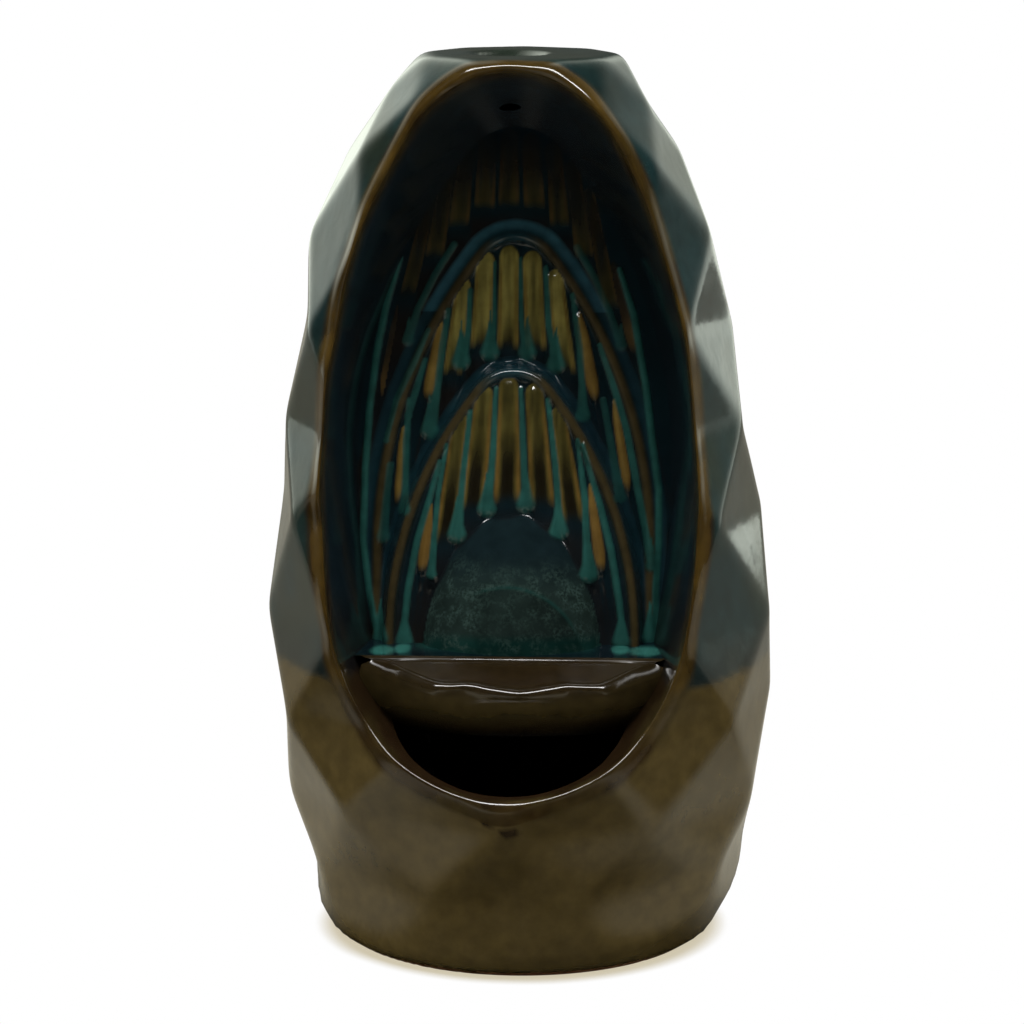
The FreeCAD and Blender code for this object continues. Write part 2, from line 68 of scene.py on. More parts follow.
# Arches: top, half width, drop to full width, top radius
BACK_ARCH = (123.9, 37.3, 78.9, 13)
MIDDLE_ARCH = (98.8, 33.2, 75, 11)
FRONT_ARCH = (66.2, 29.8, 64, 11)
HOLE_X, HOLE_RADIUS = -2.8, 2.5
SEAT_DEPTH, SEAT_FLOOR, SEAT_EDGE = 1.2, 6.5, 10
# Moves a point from the frame of the drawing to the frame of the part
SHIFT = np.array([-0.1059, -1.1695, 0.0])
# Millimetres in a metre
METRE = 1000

# Distances without a hit, and steps too small to count
MISS, FAR_OFF = 1e9, 1e6
TINY, CLOSE = 1e-9, 1e-6
EDGE_SLACK = 1e-4


def smooth(low, high, value):
    """0 up to low, 1 from high on, and an even curve between them."""
    share = np.clip((value - low) / (high - low), 0, 1)
    return share * share * (3 - 2 * share)


def unit(vectors):
    return vectors / np.linalg.norm(vectors, axis=-1, keepdims=True)


# The faceted outside

def spline_values(heights, column):
    """Natural spline through the stations, with the tangent carried on below the first."""
    levels = np.array([row[0] for row in STATIONS], float)
    values = np.array([row[column] for row in STATIONS], float)
    count = len(levels)
    matrix, right = np.eye(count), np.zeros(count)
    step = np.diff(levels)
    for i in range(1, count - 1):
        matrix[i, i - 1:i + 2] = step[i - 1], 2 * (step[i - 1] + step[i]), step[i]
        right[i] = 6 * ((values[i + 1] - values[i]) / step[i] - (values[i] - values[i - 1]) / step[i - 1])
    bend = np.linalg.solve(matrix, right)
    heights = np.minimum(np.asarray(heights, float), levels[-1])
    i = np.clip(np.searchsorted(levels, heights) - 1, 0, count - 2)
    low, high, span = levels[i], levels[i + 1], step[i]
    a, b = (high - heights) / span, (heights - low) / span
    curve = a * values[i] + b * values[i + 1]
    curve += ((a ** 3 - a) * bend[i] + (b ** 3 - b) * bend[i + 1]) * span ** 2 / 6
    slope = (values[1] - values[0]) / step[0] - step[0] / 6 * (2 * bend[0] + bend[1])
    return np.where(heights <= levels[0], values[0] + 0.4 * slope * (heights - levels[0]), curve)


def stray(row, place, channel):
    """A fixed number from -1 to 1 for one measure of a corner."""
    wave = math.sin(12.9898 * (row + 1) + 78.233 * (place + 1) + 37.719 * channel) * 43.758
    return 2 * (wave - math.floor(wave)) - 1


def facet_triangles():
    """Corners of the flat facets; every other row of points is turned by half a facet."""
    rows = []
    for row, level in enumerate(ROWS):
        free = 0 if row in (0, len(ROWS) - 1) else 1
        ring = []
        for place in range(FACETS):
            height = level + free * DRIFT[1] * stray(row, place, 1)
            turn = TURN + 360 / FACETS * (place + 0.5 * ((row + 1) % 2)) + DRIFT[0] * stray(row, place, 2)
            turn = math.radians(turn)
            radius = float(spline_values(height, 1)) + free * DRIFT[2] * stray(row, place, 3)
            across = float(spline_values(height, 2)) + radius * math.cos(turn)
            ring.append((across, radius * DEPTH_SHARE * math.sin(turn), height))
        rows.append(ring)
    triangles = []
    for row in range(len(rows) - 1):
        low, high = rows[row], rows[row + 1]
        for i in range(FACETS):
            j = (i + 1) % FACETS
            if row % 2:
                triangles += [(low[i], low[j], high[i]), (low[j], high[j], high[i])]
            else:
                triangles += [(low[i], high[j], high[i]), (low[i], low[j], high[j])]
    for ring in (rows[0], rows[-1]):
        triangles += [(ring[0], ring[i], ring[i + 1]) for i in range(1, FACETS - 1)]
    return np.array(triangles)


TRIANGLES = facet_triangles()


def facet_distance(origin, way):
    """Distance along each ray from inside the body to its faceted outside."""
    best = np.full(way.shape[:-1], MISS)
    for a, b, c in TRIANGLES:
        normal = np.cross(b - a, c - a)
        slope = way @ normal
        slope = np.where(np.abs(slope) < TINY, TINY, slope)
        far = ((a - origin) @ normal) / slope
        hit = origin + way * far[..., None]
        inside = far > CLOSE
        for p, q in ((a, b), (b, c), (c, a)):
            inside &= np.cross(q - p, hit - p) @ normal >= -EDGE_SLACK * (normal @ normal)
        best = np.where(inside & (far < best), far, best)
    return best


def cone_distance(origin, way, radius, slope):
    """Distance to the cone round the axis whose radius grows with height."""
    ox, oy, oz = origin[..., 0], origin[..., 1], origin[..., 2]
    dx, dy, dz = way[..., 0], way[..., 1], way[..., 2]
    reach = radius + slope * oz
    a = dx ** 2 + dy ** 2 - (slope * dz) ** 2
    b = ox * dx + oy * dy - slope * dz * reach
    c = ox ** 2 + oy ** 2 - reach ** 2
    root = np.sqrt(np.maximum(b * b - a * c, 0))
    a = np.where(np.abs(a) < TINY, TINY, a)
    first, second = (-b - root) / a, (-b + root) / a
    low, high = np.minimum(first, second), np.maximum(first, second)
    far = np.where(low > CLOSE, low, high)
    return np.where(far > CLOSE, far, FAR_OFF)


def blur(field, sigma, axis, closed):
    """Gaussian blur along one axis; a closed axis wraps round."""
    reach = int(math.ceil(3 * sigma))
    weights = np.exp(-0.5 * (np.arange(-reach, reach + 1) / sigma) ** 2)
    weights /= weights.sum()
    pad = [(0, 0)] * field.ndim
    pad[axis] = (reach, reach)
    wide = np.pad(field, pad, mode="wrap" if closed else "edge")
    out = np.zeros_like(field)
    length = field.shape[axis]
    for i, weight in enumerate(weights):
        out += weight * np.take(wide, range(i, i + length), axis=axis)
    return out


def blur_both(field, first, second, closed=False):
    """Blur along the first axis, which may be closed, and then the second."""
    return blur(blur(field, first, 0, closed), second, 1, False)


# Panel frame: u across, v up the leaning panel, w out of it

OUT = np.array([0, -math.cos(LEAN), math.sin(LEAN)])
UP = np.array([0, math.sin(LEAN), math.cos(LEAN)])
ACROSS = np.array([1.0, 0, 0])
PANEL_ORIGIN = np.array([RECESS_SHIFT, PANEL_Y, LEDGE_Z])


def from_panel(u, v, w):
    """Points from places in the panel's frame."""
    u, v, w = (np.asarray(x, float)[..., None] for x in (u, v, w))
    return PANEL_ORIGIN + u * ACROSS + v * UP + w * OUT


def side_arc(half, reach, end_radius):
    """Radius of an outline's side arc, and the angle where it meets the end arc."""
    radius = (half ** 2 + (reach - end_radius) ** 2 - end_radius ** 2) / (2 * (half - end_radius))
    return radius, math.atan2(reach - end_radius, radius - half)


def arch_inset(arch, u, v):
    """Distance inside an arch outline; negative outside it."""
    top, half, spring, end_radius = arch
    radius, meet = side_arc(half, spring, end_radius)
    middle = top - spring
    u = np.abs(u)
    angle = np.arctan2(v - (top - end_radius), u)
    side = radius - np.hypot(u - (half - radius), v - middle)
    tip = end_radius - np.hypot(u, v - (top - end_radius))
    return np.where(v < middle, half - u, np.where(angle > meet, tip, side))


def egg_points(egg, turns):
    """Points at shares of the way round an egg outline, in matching arcs for every egg."""
    half, middle, top, bottom, top_radius, bottom_radius = egg
    pieces = []
    for way, reach, end_radius in ((1, top - middle, top_radius), (-1, middle - bottom, bottom_radius)):
        radius, meet = side_arc(half, reach, end_radius)
        tip = middle + way * (reach - end_radius)
        side = (half - radius, middle, radius, 0, way * meet)
        end = (0, tip, end_radius, way * meet, way * math.pi / 2)
        pieces.append((side, end))
    upper, lower = pieces
    quarter = np.asarray(turns) % 1 * 4
    u, v = np.zeros_like(quarter), np.zeros_like(quarter)
    for index, (arcs, mirror, forward) in enumerate(
        ((upper, 1, True), (upper, -1, False), (lower, -1, True), (lower, 1, False))
    ):
        inside = (quarter >= index) & (quarter < index + 1)
        share = quarter[inside] - index
        share = share if forward else 1 - share
        lengths = np.array([abs(arc[2] * (arc[4] - arc[3])) for arc in arcs])
        split = lengths[0] / lengths.sum()
        first = share < split
        along = np.where(first, share / split, (share - split) / (1 - split))
        cx, cy, r, start, end = (np.where(first, a, b) for a, b in zip(*arcs))
        angle = start + (end - start) * along
        u[inside] = mirror * (cx + r * np.cos(angle))
        v[inside] = cy + r * np.sin(angle)
    return u, v


# Fixed patterns of noise

def lattice(cells, seed):
    """A fixed number from 0 to 1 for each whole-numbered cell."""
    value = np.sin(cells @ np.array([127.1, 311.7, 74.7]) + seed * 17.3) * 43758.5453
    return value - np.floor(value)


def noise(points, scale, seed=0):
    """Smooth value noise between 0 and 1 at points in millimetres."""
    grid = np.asarray(points, float) / scale + 100
    cell = np.floor(grid)
    share = grid - cell
    share = share * share * (3 - 2 * share)
    total = np.zeros(grid.shape[:-1])
    for corner in np.ndindex(2, 2, 2):
        corner = np.array(corner)
        weight = np.prod(np.where(corner, share, 1 - share), axis=-1)
        total += weight * lattice(cell + corner, seed)
    return total


def layered(points, scale, seed=0):
    """Three sizes of noise together, between 0 and 1."""
    return (noise(points, scale, seed) + 0.5 * noise(points, scale / 2, seed + 1)
            + 0.25 * noise(points, scale / 4, seed + 2)) / 1.75


def mix(a, b, share):
    """From colour a at share 0 to colour b at share 1."""
    return a + (b - a) * share[..., None]


def colour(r, g, b):
    """A linear colour."""
    return np.array([r, g, b])


# The shell: niche wall, recess wall, rounded rim and faceted outside in one net

AROUND = 400
NICHE_ROWS, WALL_ROWS, RIM_ROWS = 4, 24, 16
OUTER_ROWS = 188
# The rows of the outside run from the rim to a pole at the back, and are closer near the rim
CENTRE = np.array([-0.8, 0.0, 100.0])
POLE = np.array([0.02, 1.0, 0.05])
CROWDING = 1.12
# Blurs, in columns round the opening and rows of the outside
RIM_SOFT = AROUND / 130
FACET_SOFT = (AROUND / 250, OUTER_ROWS / 135)
SLANT_SOFT = (AROUND / 22, OUTER_ROWS / 14)
JOIN_SHARE = 0.05
# Painted light and shade on the facets by their slants: the way the light comes from, its gain and limit
PAINTED_LIGHT_WAY = np.array([-0.75, -0.1, 0.9])
PAINTED_LIGHT_GAIN, PAINTED_LIGHT_LIMIT = 0.8, 0.25
# The rim's width on both sides of its edge, and the curve over it
BEAD_IN, BEAD_OUT = 2.4, 3.0
PULL_IN, PULL_OUT, BULGE = 2.3, 2.5, 0.9
# The wall below the ledge: its thickness at heights in the panel's frame, where it begins, the shares
# of its rows that cross it and turn over its back edge, and the way of the others
THIN_V = (-25, -20.8, -17.9, -14.3, -11.5, -10.1, -8.5, -7, -5)
THIN = (2.5, 4, 6.5, 12, 19, 25, 31, 35, 37)
THIN_FROM, THIN_FULL = -1.5, -4.5
ACROSS_SHARE, TURN_SHARE = 0.4, 0.25
BACK_ROUND, BEHIND, BEHIND_DROP = 0.9, 26, 3
BEHIND_V = 30
NICHE_DEPTH = 4.6

turns = (np.arange(AROUND) + 0.5) / AROUND
panel_u, panel_v = egg_points(PANEL_EGG, turns)
rim_u, rim_v = egg_points(RIM_EGG, turns)
panel_edge = from_panel(panel_u, panel_v, 0 * panel_u)
flare = unit(from_panel(rim_u, rim_v, 0 * rim_u + RIM_REACH) - panel_edge)
brink = np.array([float(facet_distance(p, d[None])[0]) for p, d in zip(panel_edge, flare)])
brink = blur(brink, RIM_SOFT, 0, True)
edge = panel_edge + flare * brink[:, None]

start = unit(edge - CENTRE)
pole = unit(POLE)
sweep = np.arccos(np.clip(start @ pole, -1, 1))
share = (np.arange(OUTER_ROWS) / (OUTER_ROWS - 1)) ** CROWDING
ways = (np.sin((1 - share)[None] * sweep[:, None])[..., None] * start[:, None]
        + np.sin(share[None] * sweep[:, None])[..., None] * pole) / np.sin(sweep)[:, None, None]

# The softened facets start at the rim's edge
soft = blur_both(facet_distance(CENTRE, ways), *FACET_SOFT, closed=True)
step_off = np.linalg.norm(edge - CENTRE, axis=-1)
soft += (step_off - soft[:, 0])[:, None] * (1 - smooth(0, JOIN_SHARE, share))[None]

# The turned foot and the table cut the facets off below, with a small rounding between them
foot = np.minimum(cone_distance(CENTRE, ways, FOOT_RADIUS, 1 / FOOT_SLOPE),
                  cone_distance(CENTRE, ways, FOOT_RADIUS - FOOT_CHAMFER, CHAMFER_SLOPE))
down = np.where(ways[..., 2] < -CLOSE, CENTRE[2] / -np.minimum(ways[..., 2], -CLOSE), FAR_OFF)
foot = np.minimum(foot, down)
low = np.minimum(soft, foot)
beyond = np.minimum(foot - low, ROUND_REACH)
soft = low - FOOT_ROUND * np.log(np.exp(-(soft - low) / FOOT_ROUND) + np.exp(-beyond / FOOT_ROUND))
outer = CENTRE + ways * soft[..., None]
outer[..., 2] = np.clip(outer[..., 2], 0, HEIGHT)

# The first point of each column on the table moves to the foot's edge, which makes it even
around = np.arange(AROUND)
on_table = (outer[..., 2] < 0.02) & (ways[..., 2] < 0)
first_down = np.argmax(on_table, axis=1)
some = on_table.any(axis=1)
flat_way = unit(outer[around, first_down, :2] + TINY)
foot_edge = np.concatenate([flat_way * (FOOT_RADIUS - FOOT_CHAMFER), np.zeros((AROUND, 1))], axis=1)
outer[around[some], first_down[some]] = foot_edge[some]

# The dished seat for a cone round the smoke hole
from_hole = np.hypot(outer[..., 0] - HOLE_X, outer[..., 1])
in_seat = (1 - smooth(SEAT_FLOOR, SEAT_EDGE, from_hole)) * (outer[..., 2] > HEIGHT / 2)
outer[..., 2] -= SEAT_DEPTH * in_seat

# How far each facet's slant differs from the body's even curve, which is painted into its glaze as light
# and shade
slant = unit(np.cross(np.gradient(outer, axis=0), np.gradient(outer, axis=1)))
slant = slant * np.sign((slant * ways).sum(-1, keepdims=True))
even_slant = blur_both(slant, *SLANT_SOFT, closed=True)
facet_painted_light = 1 + np.clip((slant - even_slant) @ PAINTED_LIGHT_WAY, -PAINTED_LIGHT_LIMIT, PAINTED_LIGHT_LIMIT) * PAINTED_LIGHT_GAIN

# Rim profile: from the recess wall over a rounded edge to the outside
inner_way = -flare
from_edge = np.linalg.norm(outer - edge[:, None], axis=-1)
skip = int(np.searchsorted(np.median(from_edge, axis=0), BEAD_OUT))
land = outer[:, skip]
outward = unit(outer[:, skip + 2] - outer[:, max(skip - 1, 1)])
bulge = unit(-(inner_way + outward))
take_off = edge + inner_way * BEAD_IN
first = take_off - inner_way * PULL_IN + bulge * BULGE
second = land - outward * PULL_OUT + bulge * BULGE
rim_rows = []
for t in np.linspace(0, 1, RIM_ROWS + 2)[1:-1]:
    rim_rows.append((1 - t) ** 3 * take_off + 3 * (1 - t) ** 2 * t * first
                    + 3 * (1 - t) * t * t * second + t ** 3 * land)

# Recess wall: full depth behind the ledge, only the shell's thickness below it
below = smooth(THIN_FROM, THIN_FULL, panel_v)
thickness = np.interp(panel_v, THIN_V, THIN)[:, None]
behind = unit(np.stack([panel_u, panel_v - BEHIND_V, 0 * panel_u], -1))
behind = behind[:, :1] * ACROSS + behind[:, 1:2] * UP
wall_rows = []
for t in np.linspace(1, 0, WALL_ROWS):
    full = take_off + (panel_edge - take_off) * t
    strip = min(t / ACROSS_SHARE, 1)
    turn_over = np.clip((t - ACROSS_SHARE) / TURN_SHARE, 0, 1) * math.pi / 2
    thin = take_off + inner_way * thickness * strip
    thin = thin + inner_way * BACK_ROUND * math.sin(turn_over)
    thin = thin + behind * BACK_ROUND * (1 - math.cos(turn_over))
    thin = thin + (behind * BEHIND - OUT * BEHIND_DROP) * max(t - (ACROSS_SHARE + TURN_SHARE), 0)
    wall_rows.append(full + (thin - full) * below[:, None])
depths = NICHE_DEPTH * np.linspace(1, 0, NICHE_ROWS, endpoint=False)
niche_rows = [wall_rows[0] - OUT * depth for depth in depths]
net = np.stack(niche_rows + wall_rows + rim_rows, axis=1)
net = np.concatenate([net, outer[:, skip:]], axis=1)


def build(name, points, faces, colours, gloss=1, crystals=0, matte=0):
    """A smooth mesh from points in millimetres, with the glaze's values stored at the points."""
    mesh = bpy.data.meshes.new(name)
    used = np.unique(faces)
    renumber = np.zeros(len(points), int)
    renumber[used] = np.arange(len(used))
    mesh.from_pydata(((points[used] + SHIFT) / METRE).tolist(), [], renumber[faces].tolist())
    full = np.ones(len(points))
    gloss, crystals, matte = ((full * share)[used] for share in (gloss, crystals, matte))
    paint = mesh.color_attributes.new("glaze", "FLOAT_COLOR", "POINT")
    rgba = np.concatenate([np.clip(colours[used], 0, 1), gloss[:, None]], axis=1)
    paint.data.foreach_set("color", rgba.astype(np.float32).ravel())
    for label, values in (("crystals", crystals), ("matte", matte)):
        layer = mesh.attributes.new(label, "FLOAT", "POINT")
        layer.data.foreach_set("value", values.astype(np.float32))
    mesh.validate()
    mesh.shade_smooth()
    made = bpy.data.objects.new(name, mesh)
    bpy.context.scene.collection.objects.link(made)
    return made


def grid_faces(rows, columns, closed):
    """The four-sided faces of a net of points; a closed net joins its last column to its first."""
    i, j = np.meshgrid(np.arange(rows - 1), np.arange(columns if closed else columns - 1), indexing="ij")
    i, j = i.ravel(), j.ravel()
    k = (j + 1) % columns
    return np.stack([i * columns + j, i * columns + k, (i + 1) * columns + k, (i + 1) * columns + j], -1)


# Glaze colours, linear
TEAL = colour(0.0040, 0.0150, 0.0185)
NAVY = colour(0.0022, 0.0060, 0.0085)
OLIVE = colour(0.054, 0.038, 0.0125)
AMBER = colour(0.062, 0.036, 0.006)
UMBER = colour(0.012, 0.0065, 0.0028)
CLAY = colour(0.30, 0.12, 0.045)
RUN = colour(0.017, 0.078, 0.065)
WALL = colour(0.0062, 0.0115, 0.0150)
SLATE = colour(0.021, 0.037, 0.032)
MOSS = colour(0.0110, 0.0170, 0.0115)
DUSK = colour(0.0100, 0.0125, 0.0112)
LAGOON = colour(0.0070, 0.0190, 0.0195)
CROWN = colour(0.062, 0.052, 0.013)
OCHRE = colour(0.150, 0.085, 0.020)
BRONZE = colour(0.043, 0.031, 0.011)
RIB_DARK = colour(0.012, 0.0095, 0.0045)
MOUND_TOP = colour(0.006, 0.013, 0.015)


# The shell's colours

GLAZE_LINE = 69.2
# Drips of dark glaze on the front below the mouth: place, half width and half height
DRIPS = ((-0.6, 37.6, 2.6, 1.4), (-5.2, 39.9, 1.8, 1.0))

columns = net.shape[1]
points = net.reshape(-1, 3)
row = np.tile(np.arange(columns), AROUND)
outer_start = NICHE_ROWS + WALL_ROWS + RIM_ROWS
# 0 to 1 over the rim, less on the wall and more on the outside
rim_place = (row - NICHE_ROWS - WALL_ROWS + 0.5) / RIM_ROWS
past_rim = np.linalg.norm(points - np.repeat(edge, columns, axis=0), axis=1) - BEAD_OUT
rim_place = np.where(row < outer_start, rim_place, 1 + np.maximum(past_rim, 0) / (BEAD_IN + BEAD_OUT))
height = points[:, 2]
drift = layered(points, 22, 3)
grain = layered(points, 5, 5)
above = height - (GLAZE_LINE + 1.6 * (drift - 0.5) + 0.8 * (grain - 0.5))
upper = smooth(-1.1, 1.1, above)

# Outside: teal and moss above the glaze line, olive below it, each facet lighter or darker with painted
# light and shade by its slant
outside_upper = mix(LAGOON, MOSS, smooth(0.35, 0.65, drift))
outside_upper = mix(outside_upper, DUSK, 0.75 * (1 - smooth(0, 16, above)))
outside = mix(mix(OLIVE * 0.93, OLIVE * 1.07, drift), outside_upper, upper)
# Painted light and shade of the facets, on the outside's rows
tone = np.ones((AROUND, columns))
tone[:, outer_start:] = facet_painted_light[:, skip:]
outside = outside * tone.reshape(-1, 1)
for drip_x, drip_z, wide, tall in DRIPS:
    drip = np.hypot((points[:, 0] - drip_x) / wide, (height - drip_z) / tall) + 0.5 * (grain - 0.5)
    outside = mix(outside, UMBER * 0.9, (1 - smooth(0.75, 1.15, drip)) * (points[:, 1] < 0) * 0.85)

# Inside: dark walls, browner towards the glaze line; below it brown glaze darkened with painted shade
inside_upper = mix(WALL * 0.85, WALL * 1.15, drift)
inside_upper = mix(inside_upper, UMBER * 0.8, 0.6 * (1 - smooth(2, 22, above + 8 * (drift - 0.5))))
inside = mix(mix(UMBER, UMBER * 1.9, drift), inside_upper, upper)

# Rim: the glaze broke to amber along its crest
rim_high = mix(AMBER * 0.45, AMBER * 0.9, smooth(0.3, 0.7, layered(points, 9, 9)))
rim_side = mix(UMBER * 1.3, BRONZE * 0.8, smooth(0.3, 0.7, layered(points, 6, 11)))
paint = mix(inside, outside, smooth(0.35, 0.75, rim_place))
band = smooth(-0.25, 0.0, rim_place) * (1 - smooth(1.1, 1.55, rim_place))
paint = mix(paint, rim_side, band * 0.95)
crest = smooth(0.0, 0.3, rim_place) * (1 - smooth(0.95, 1.3, rim_place + 0.2 * (grain - 0.5)))
paint = mix(paint, rim_high, crest * (0.55 + 0.45 * grain) * (0.35 + 0.65 * upper))

# Foot: bare clay where it stands on the table
bare = 1 - smooth(0.7, 1.3, height + 0.8 * (grain - 0.5))
paint = mix(paint, CLAY, bare)
faces = grid_faces(AROUND, columns, False)
wrap = grid_faces(2, columns, False)
wrap = np.where(wrap >= columns, wrap - columns, wrap + (AROUND - 1) * columns)
faces = np.concatenate([faces, wrap])
shell = build("glazed_shell", points, faces, paint, gloss=1 - bare)


# The relief: a height field over the leaning panel

CELL = 0.36
U_END, V_LOW, V_HIGH = 40.5, -9, 127
STEP = MIDDLE - BACK
# A rib's height and crown, and the half width under which it is a slender one
PROUD, CROWN_POWER, SLENDER_HALF = 1.7, 2.3, 1.4
# The round bead along an arch: inset of its middle, half width, base and height
BEAD_INSET, BEAD_HALF, BEAD_BASE, BEAD_HEIGHT = 0.6, 1.35, 0.3, 1.3
# The mound: half width, height, level of its middle, reach out of the panel, fullness
MOUND_HALF, MOUND_TALL, MOUND_V, MOUND_OUT, MOUND_POWER = 21.5, 38, -6, 12, 0.65
# How far ribs wander from side to side, and how far forms are softened
WANDER, RELIEF_SOFT, RUN_SOFT = 0.35, 0.4, 0.3
# Values for a point that no rib or bead reaches
NO_RIB, LOW = 3.0, -99

U, V = np.meshgrid(np.arange(-U_END, U_END + CELL, CELL), np.arange(V_LOW, V_HIGH, CELL))
wander = WANDER * (layered(np.stack([U, V, 0 * U], -1), 14, 21) - 0.5)
# Ribs of each arch: u and v of the top, u and v of the glazed foot, half width at each
RIBS = (
    (BACK_ARCH, BACK, 58, (
        (-28.2, 80.5, -31.9, 58.9, 1.0, 1.3), (-20.4, 108.0, -26.0, 82.9, 1.5, 2.0),
        (-16.4, 114.0, -19.6, 92.0, 1.9, 2.4), (-12.1, 118.3, -13.9, 99.2, 2.1, 2.6),
        (-7.1, 120.0, -7.7, 103.6, 2.4, 2.7), (-1.8, 121.0, -1.7, 104.1, 2.4, 2.7),
        (3.4, 120.0, 4.5, 103.6, 2.4, 2.7), (8.7, 118.4, 10.6, 99.4, 2.1, 2.6),
        (13.3, 114.2, 16.6, 92.2, 1.9, 2.4), (17.4, 108.2, 23.2, 80.0, 1.5, 2.0),
        (23.3, 91.3, 28.6, 69.8, 1.0, 1.4),
    )),
    (MIDDLE_ARCH, MIDDLE, 34, (
        (-26.6, 51.8, -27.9, 33.8, 1.0, 1.2), (-17.7, 76.8, -20.9, 59.0, 1.3, 1.8),
        (-12.6, 85.9, -15.0, 64.2, 1.9, 2.4), (-7.2, 91.5, -8.3, 70.5, 2.4, 2.7),
        (-1.6, 93.0, -1.8, 71.0, 2.4, 2.7), (3.9, 91.8, 5.0, 70.6, 2.4, 2.7),
        (9.5, 87.8, 12.2, 65.2, 2.1, 2.5), (15.4, 79.0, 19.1, 59.3, 1.3, 1.8),
        (23.7, 58.6, 27.2, 37.4, 1.0, 1.3),
    )),
    (FRONT_ARCH, FRONT, 14, (
        (-19.6, 34.0, -21.5, 18.1, 0.9, 1.7), (-12.6, 54.3, -16.1, 24.6, 1.9, 2.9),
        (-7.0, 60.0, -9.6, 32.5, 2.3, 3.3), (-1.2, 62.0, -1.4, 34.2, 2.4, 3.6),
        (4.9, 60.5, 7.1, 33.6, 2.3, 3.3), (10.7, 55.6, 14.6, 29.6, 1.9, 3.0),
        (18.3, 38.5, 21.2, 18.5, 0.9, 1.7),
    )),
)
surface = np.full(U.shape, BACK)
# At each point: number of its arch, place across and down its rib, and shares of what it is on
tier = np.zeros(U.shape)
groove = np.full(U.shape, NO_RIB)
length_share = np.zeros(U.shape)
slender = np.zeros(U.shape)
on_shelf = np.zeros(U.shape)
bead_crest = np.zeros(U.shape)
for number, (arch, ground, foot_v, ribs) in enumerate(RIBS):
    inset = arch_inset(arch, U, V)
    if number:
        floor = ground - STEP + STEP * smooth(-SHELF, 0.3, inset)
        surface = np.maximum(surface, floor)
        shelf = smooth(-SHELF - 0.6, -SHELF + 0.6, inset) * (1 - smooth(-0.6, 0.4, inset))
        on_shelf = np.maximum(on_shelf * (1 - smooth(-SHELF, 0, inset)), shelf)
        within = inset > -0.4
        groove = np.where(within, NO_RIB, groove)
        slender = np.where(within, 0, slender)
        tier = np.where(inset > -SHELF, number, tier)
    for top_u, top_v, low_u, low_v, top_half, low_half in ribs:
        share = (top_v - V) / (top_v - low_v)
        lean = (low_u - top_u) / (top_v - low_v)
        centre = top_u + (low_u - top_u) * np.maximum(share, 0)
        half = top_half + (low_half - top_half) * np.clip(share, 0, 1.3)
        is_slender = top_half < SLENDER_HALF
        if is_slender:
            half = half * np.clip(4.2 * (share + 0.06) * (1.04 - share), 0.02, 1) ** 0.5
        aside = np.abs(U - centre + wander) / math.sqrt(1 + lean * lean)
        across = np.hypot(aside / half, np.maximum(V - top_v, 0) / (1.25 * top_half))
        proud = PROUD * min(1, 0.45 + 0.3 * top_half)
        profile = 1 - np.clip(across, 0, 1) ** CROWN_POWER
        rise = ground + proud * profile * smooth(foot_v - 2, foot_v + 3, V)
        rise = np.where(across < 1, rise, LOW) - 30 * (inset < -0.5)
        nearer = (across < groove) & (inset > -0.4) & (surface < ground + PROUD + 0.2)
        groove = np.where(nearer, across, groove)
        slender = np.where(nearer, float(is_slender), slender)
        length_share = np.where(nearer, np.clip(share, 0, 2), length_share)
        surface = np.maximum(surface, rise)
    if number:
        off = (inset - BEAD_INSET + 0.4 * wander) / BEAD_HALF
        lump = ground + BEAD_BASE + BEAD_HEIGHT * np.sqrt(np.maximum(1 - off ** 2, 0))
        lump = np.where(np.abs(off) < 1, lump, LOW)
        surface = np.maximum(surface, lump)
        bead = np.exp(-(off / 0.85) ** 4)
        bead_crest = np.maximum(bead_crest * (1 - smooth(-3, -1, inset)), bead)
        groove = np.where(bead > 0.3, NO_RIB, groove)
mound_body = 1 - (U / MOUND_HALF) ** 2 - ((V - MOUND_V) / MOUND_TALL) ** 2
mound = FRONT + MOUND_OUT * np.maximum(mound_body, 0) ** MOUND_POWER
mound = np.where(mound_body > 0, mound, LOW)
on_mound = smooth(-0.3, 0.6, mound - surface)
near_mound = smooth(-2.2, -0.8, mound - surface)
surface = np.maximum(surface, mound)
surface = blur_both(surface, RELIEF_SOFT / CELL, RELIEF_SOFT / CELL)

# Half widths down a run that several runs share
EVEN, THIN_TOP = (0.6, 0.8, 0.85, 1.7), (0.5, 0.8, 0.85, 1.7)
NARROW, SIDE = (0.4, 0.6, 0.85, 1.7), (0.6, 0.8, 0.85, 0.85, 0.85, 1.7)
LONG = (0.6, *(0.85,) * 7, 1.7)
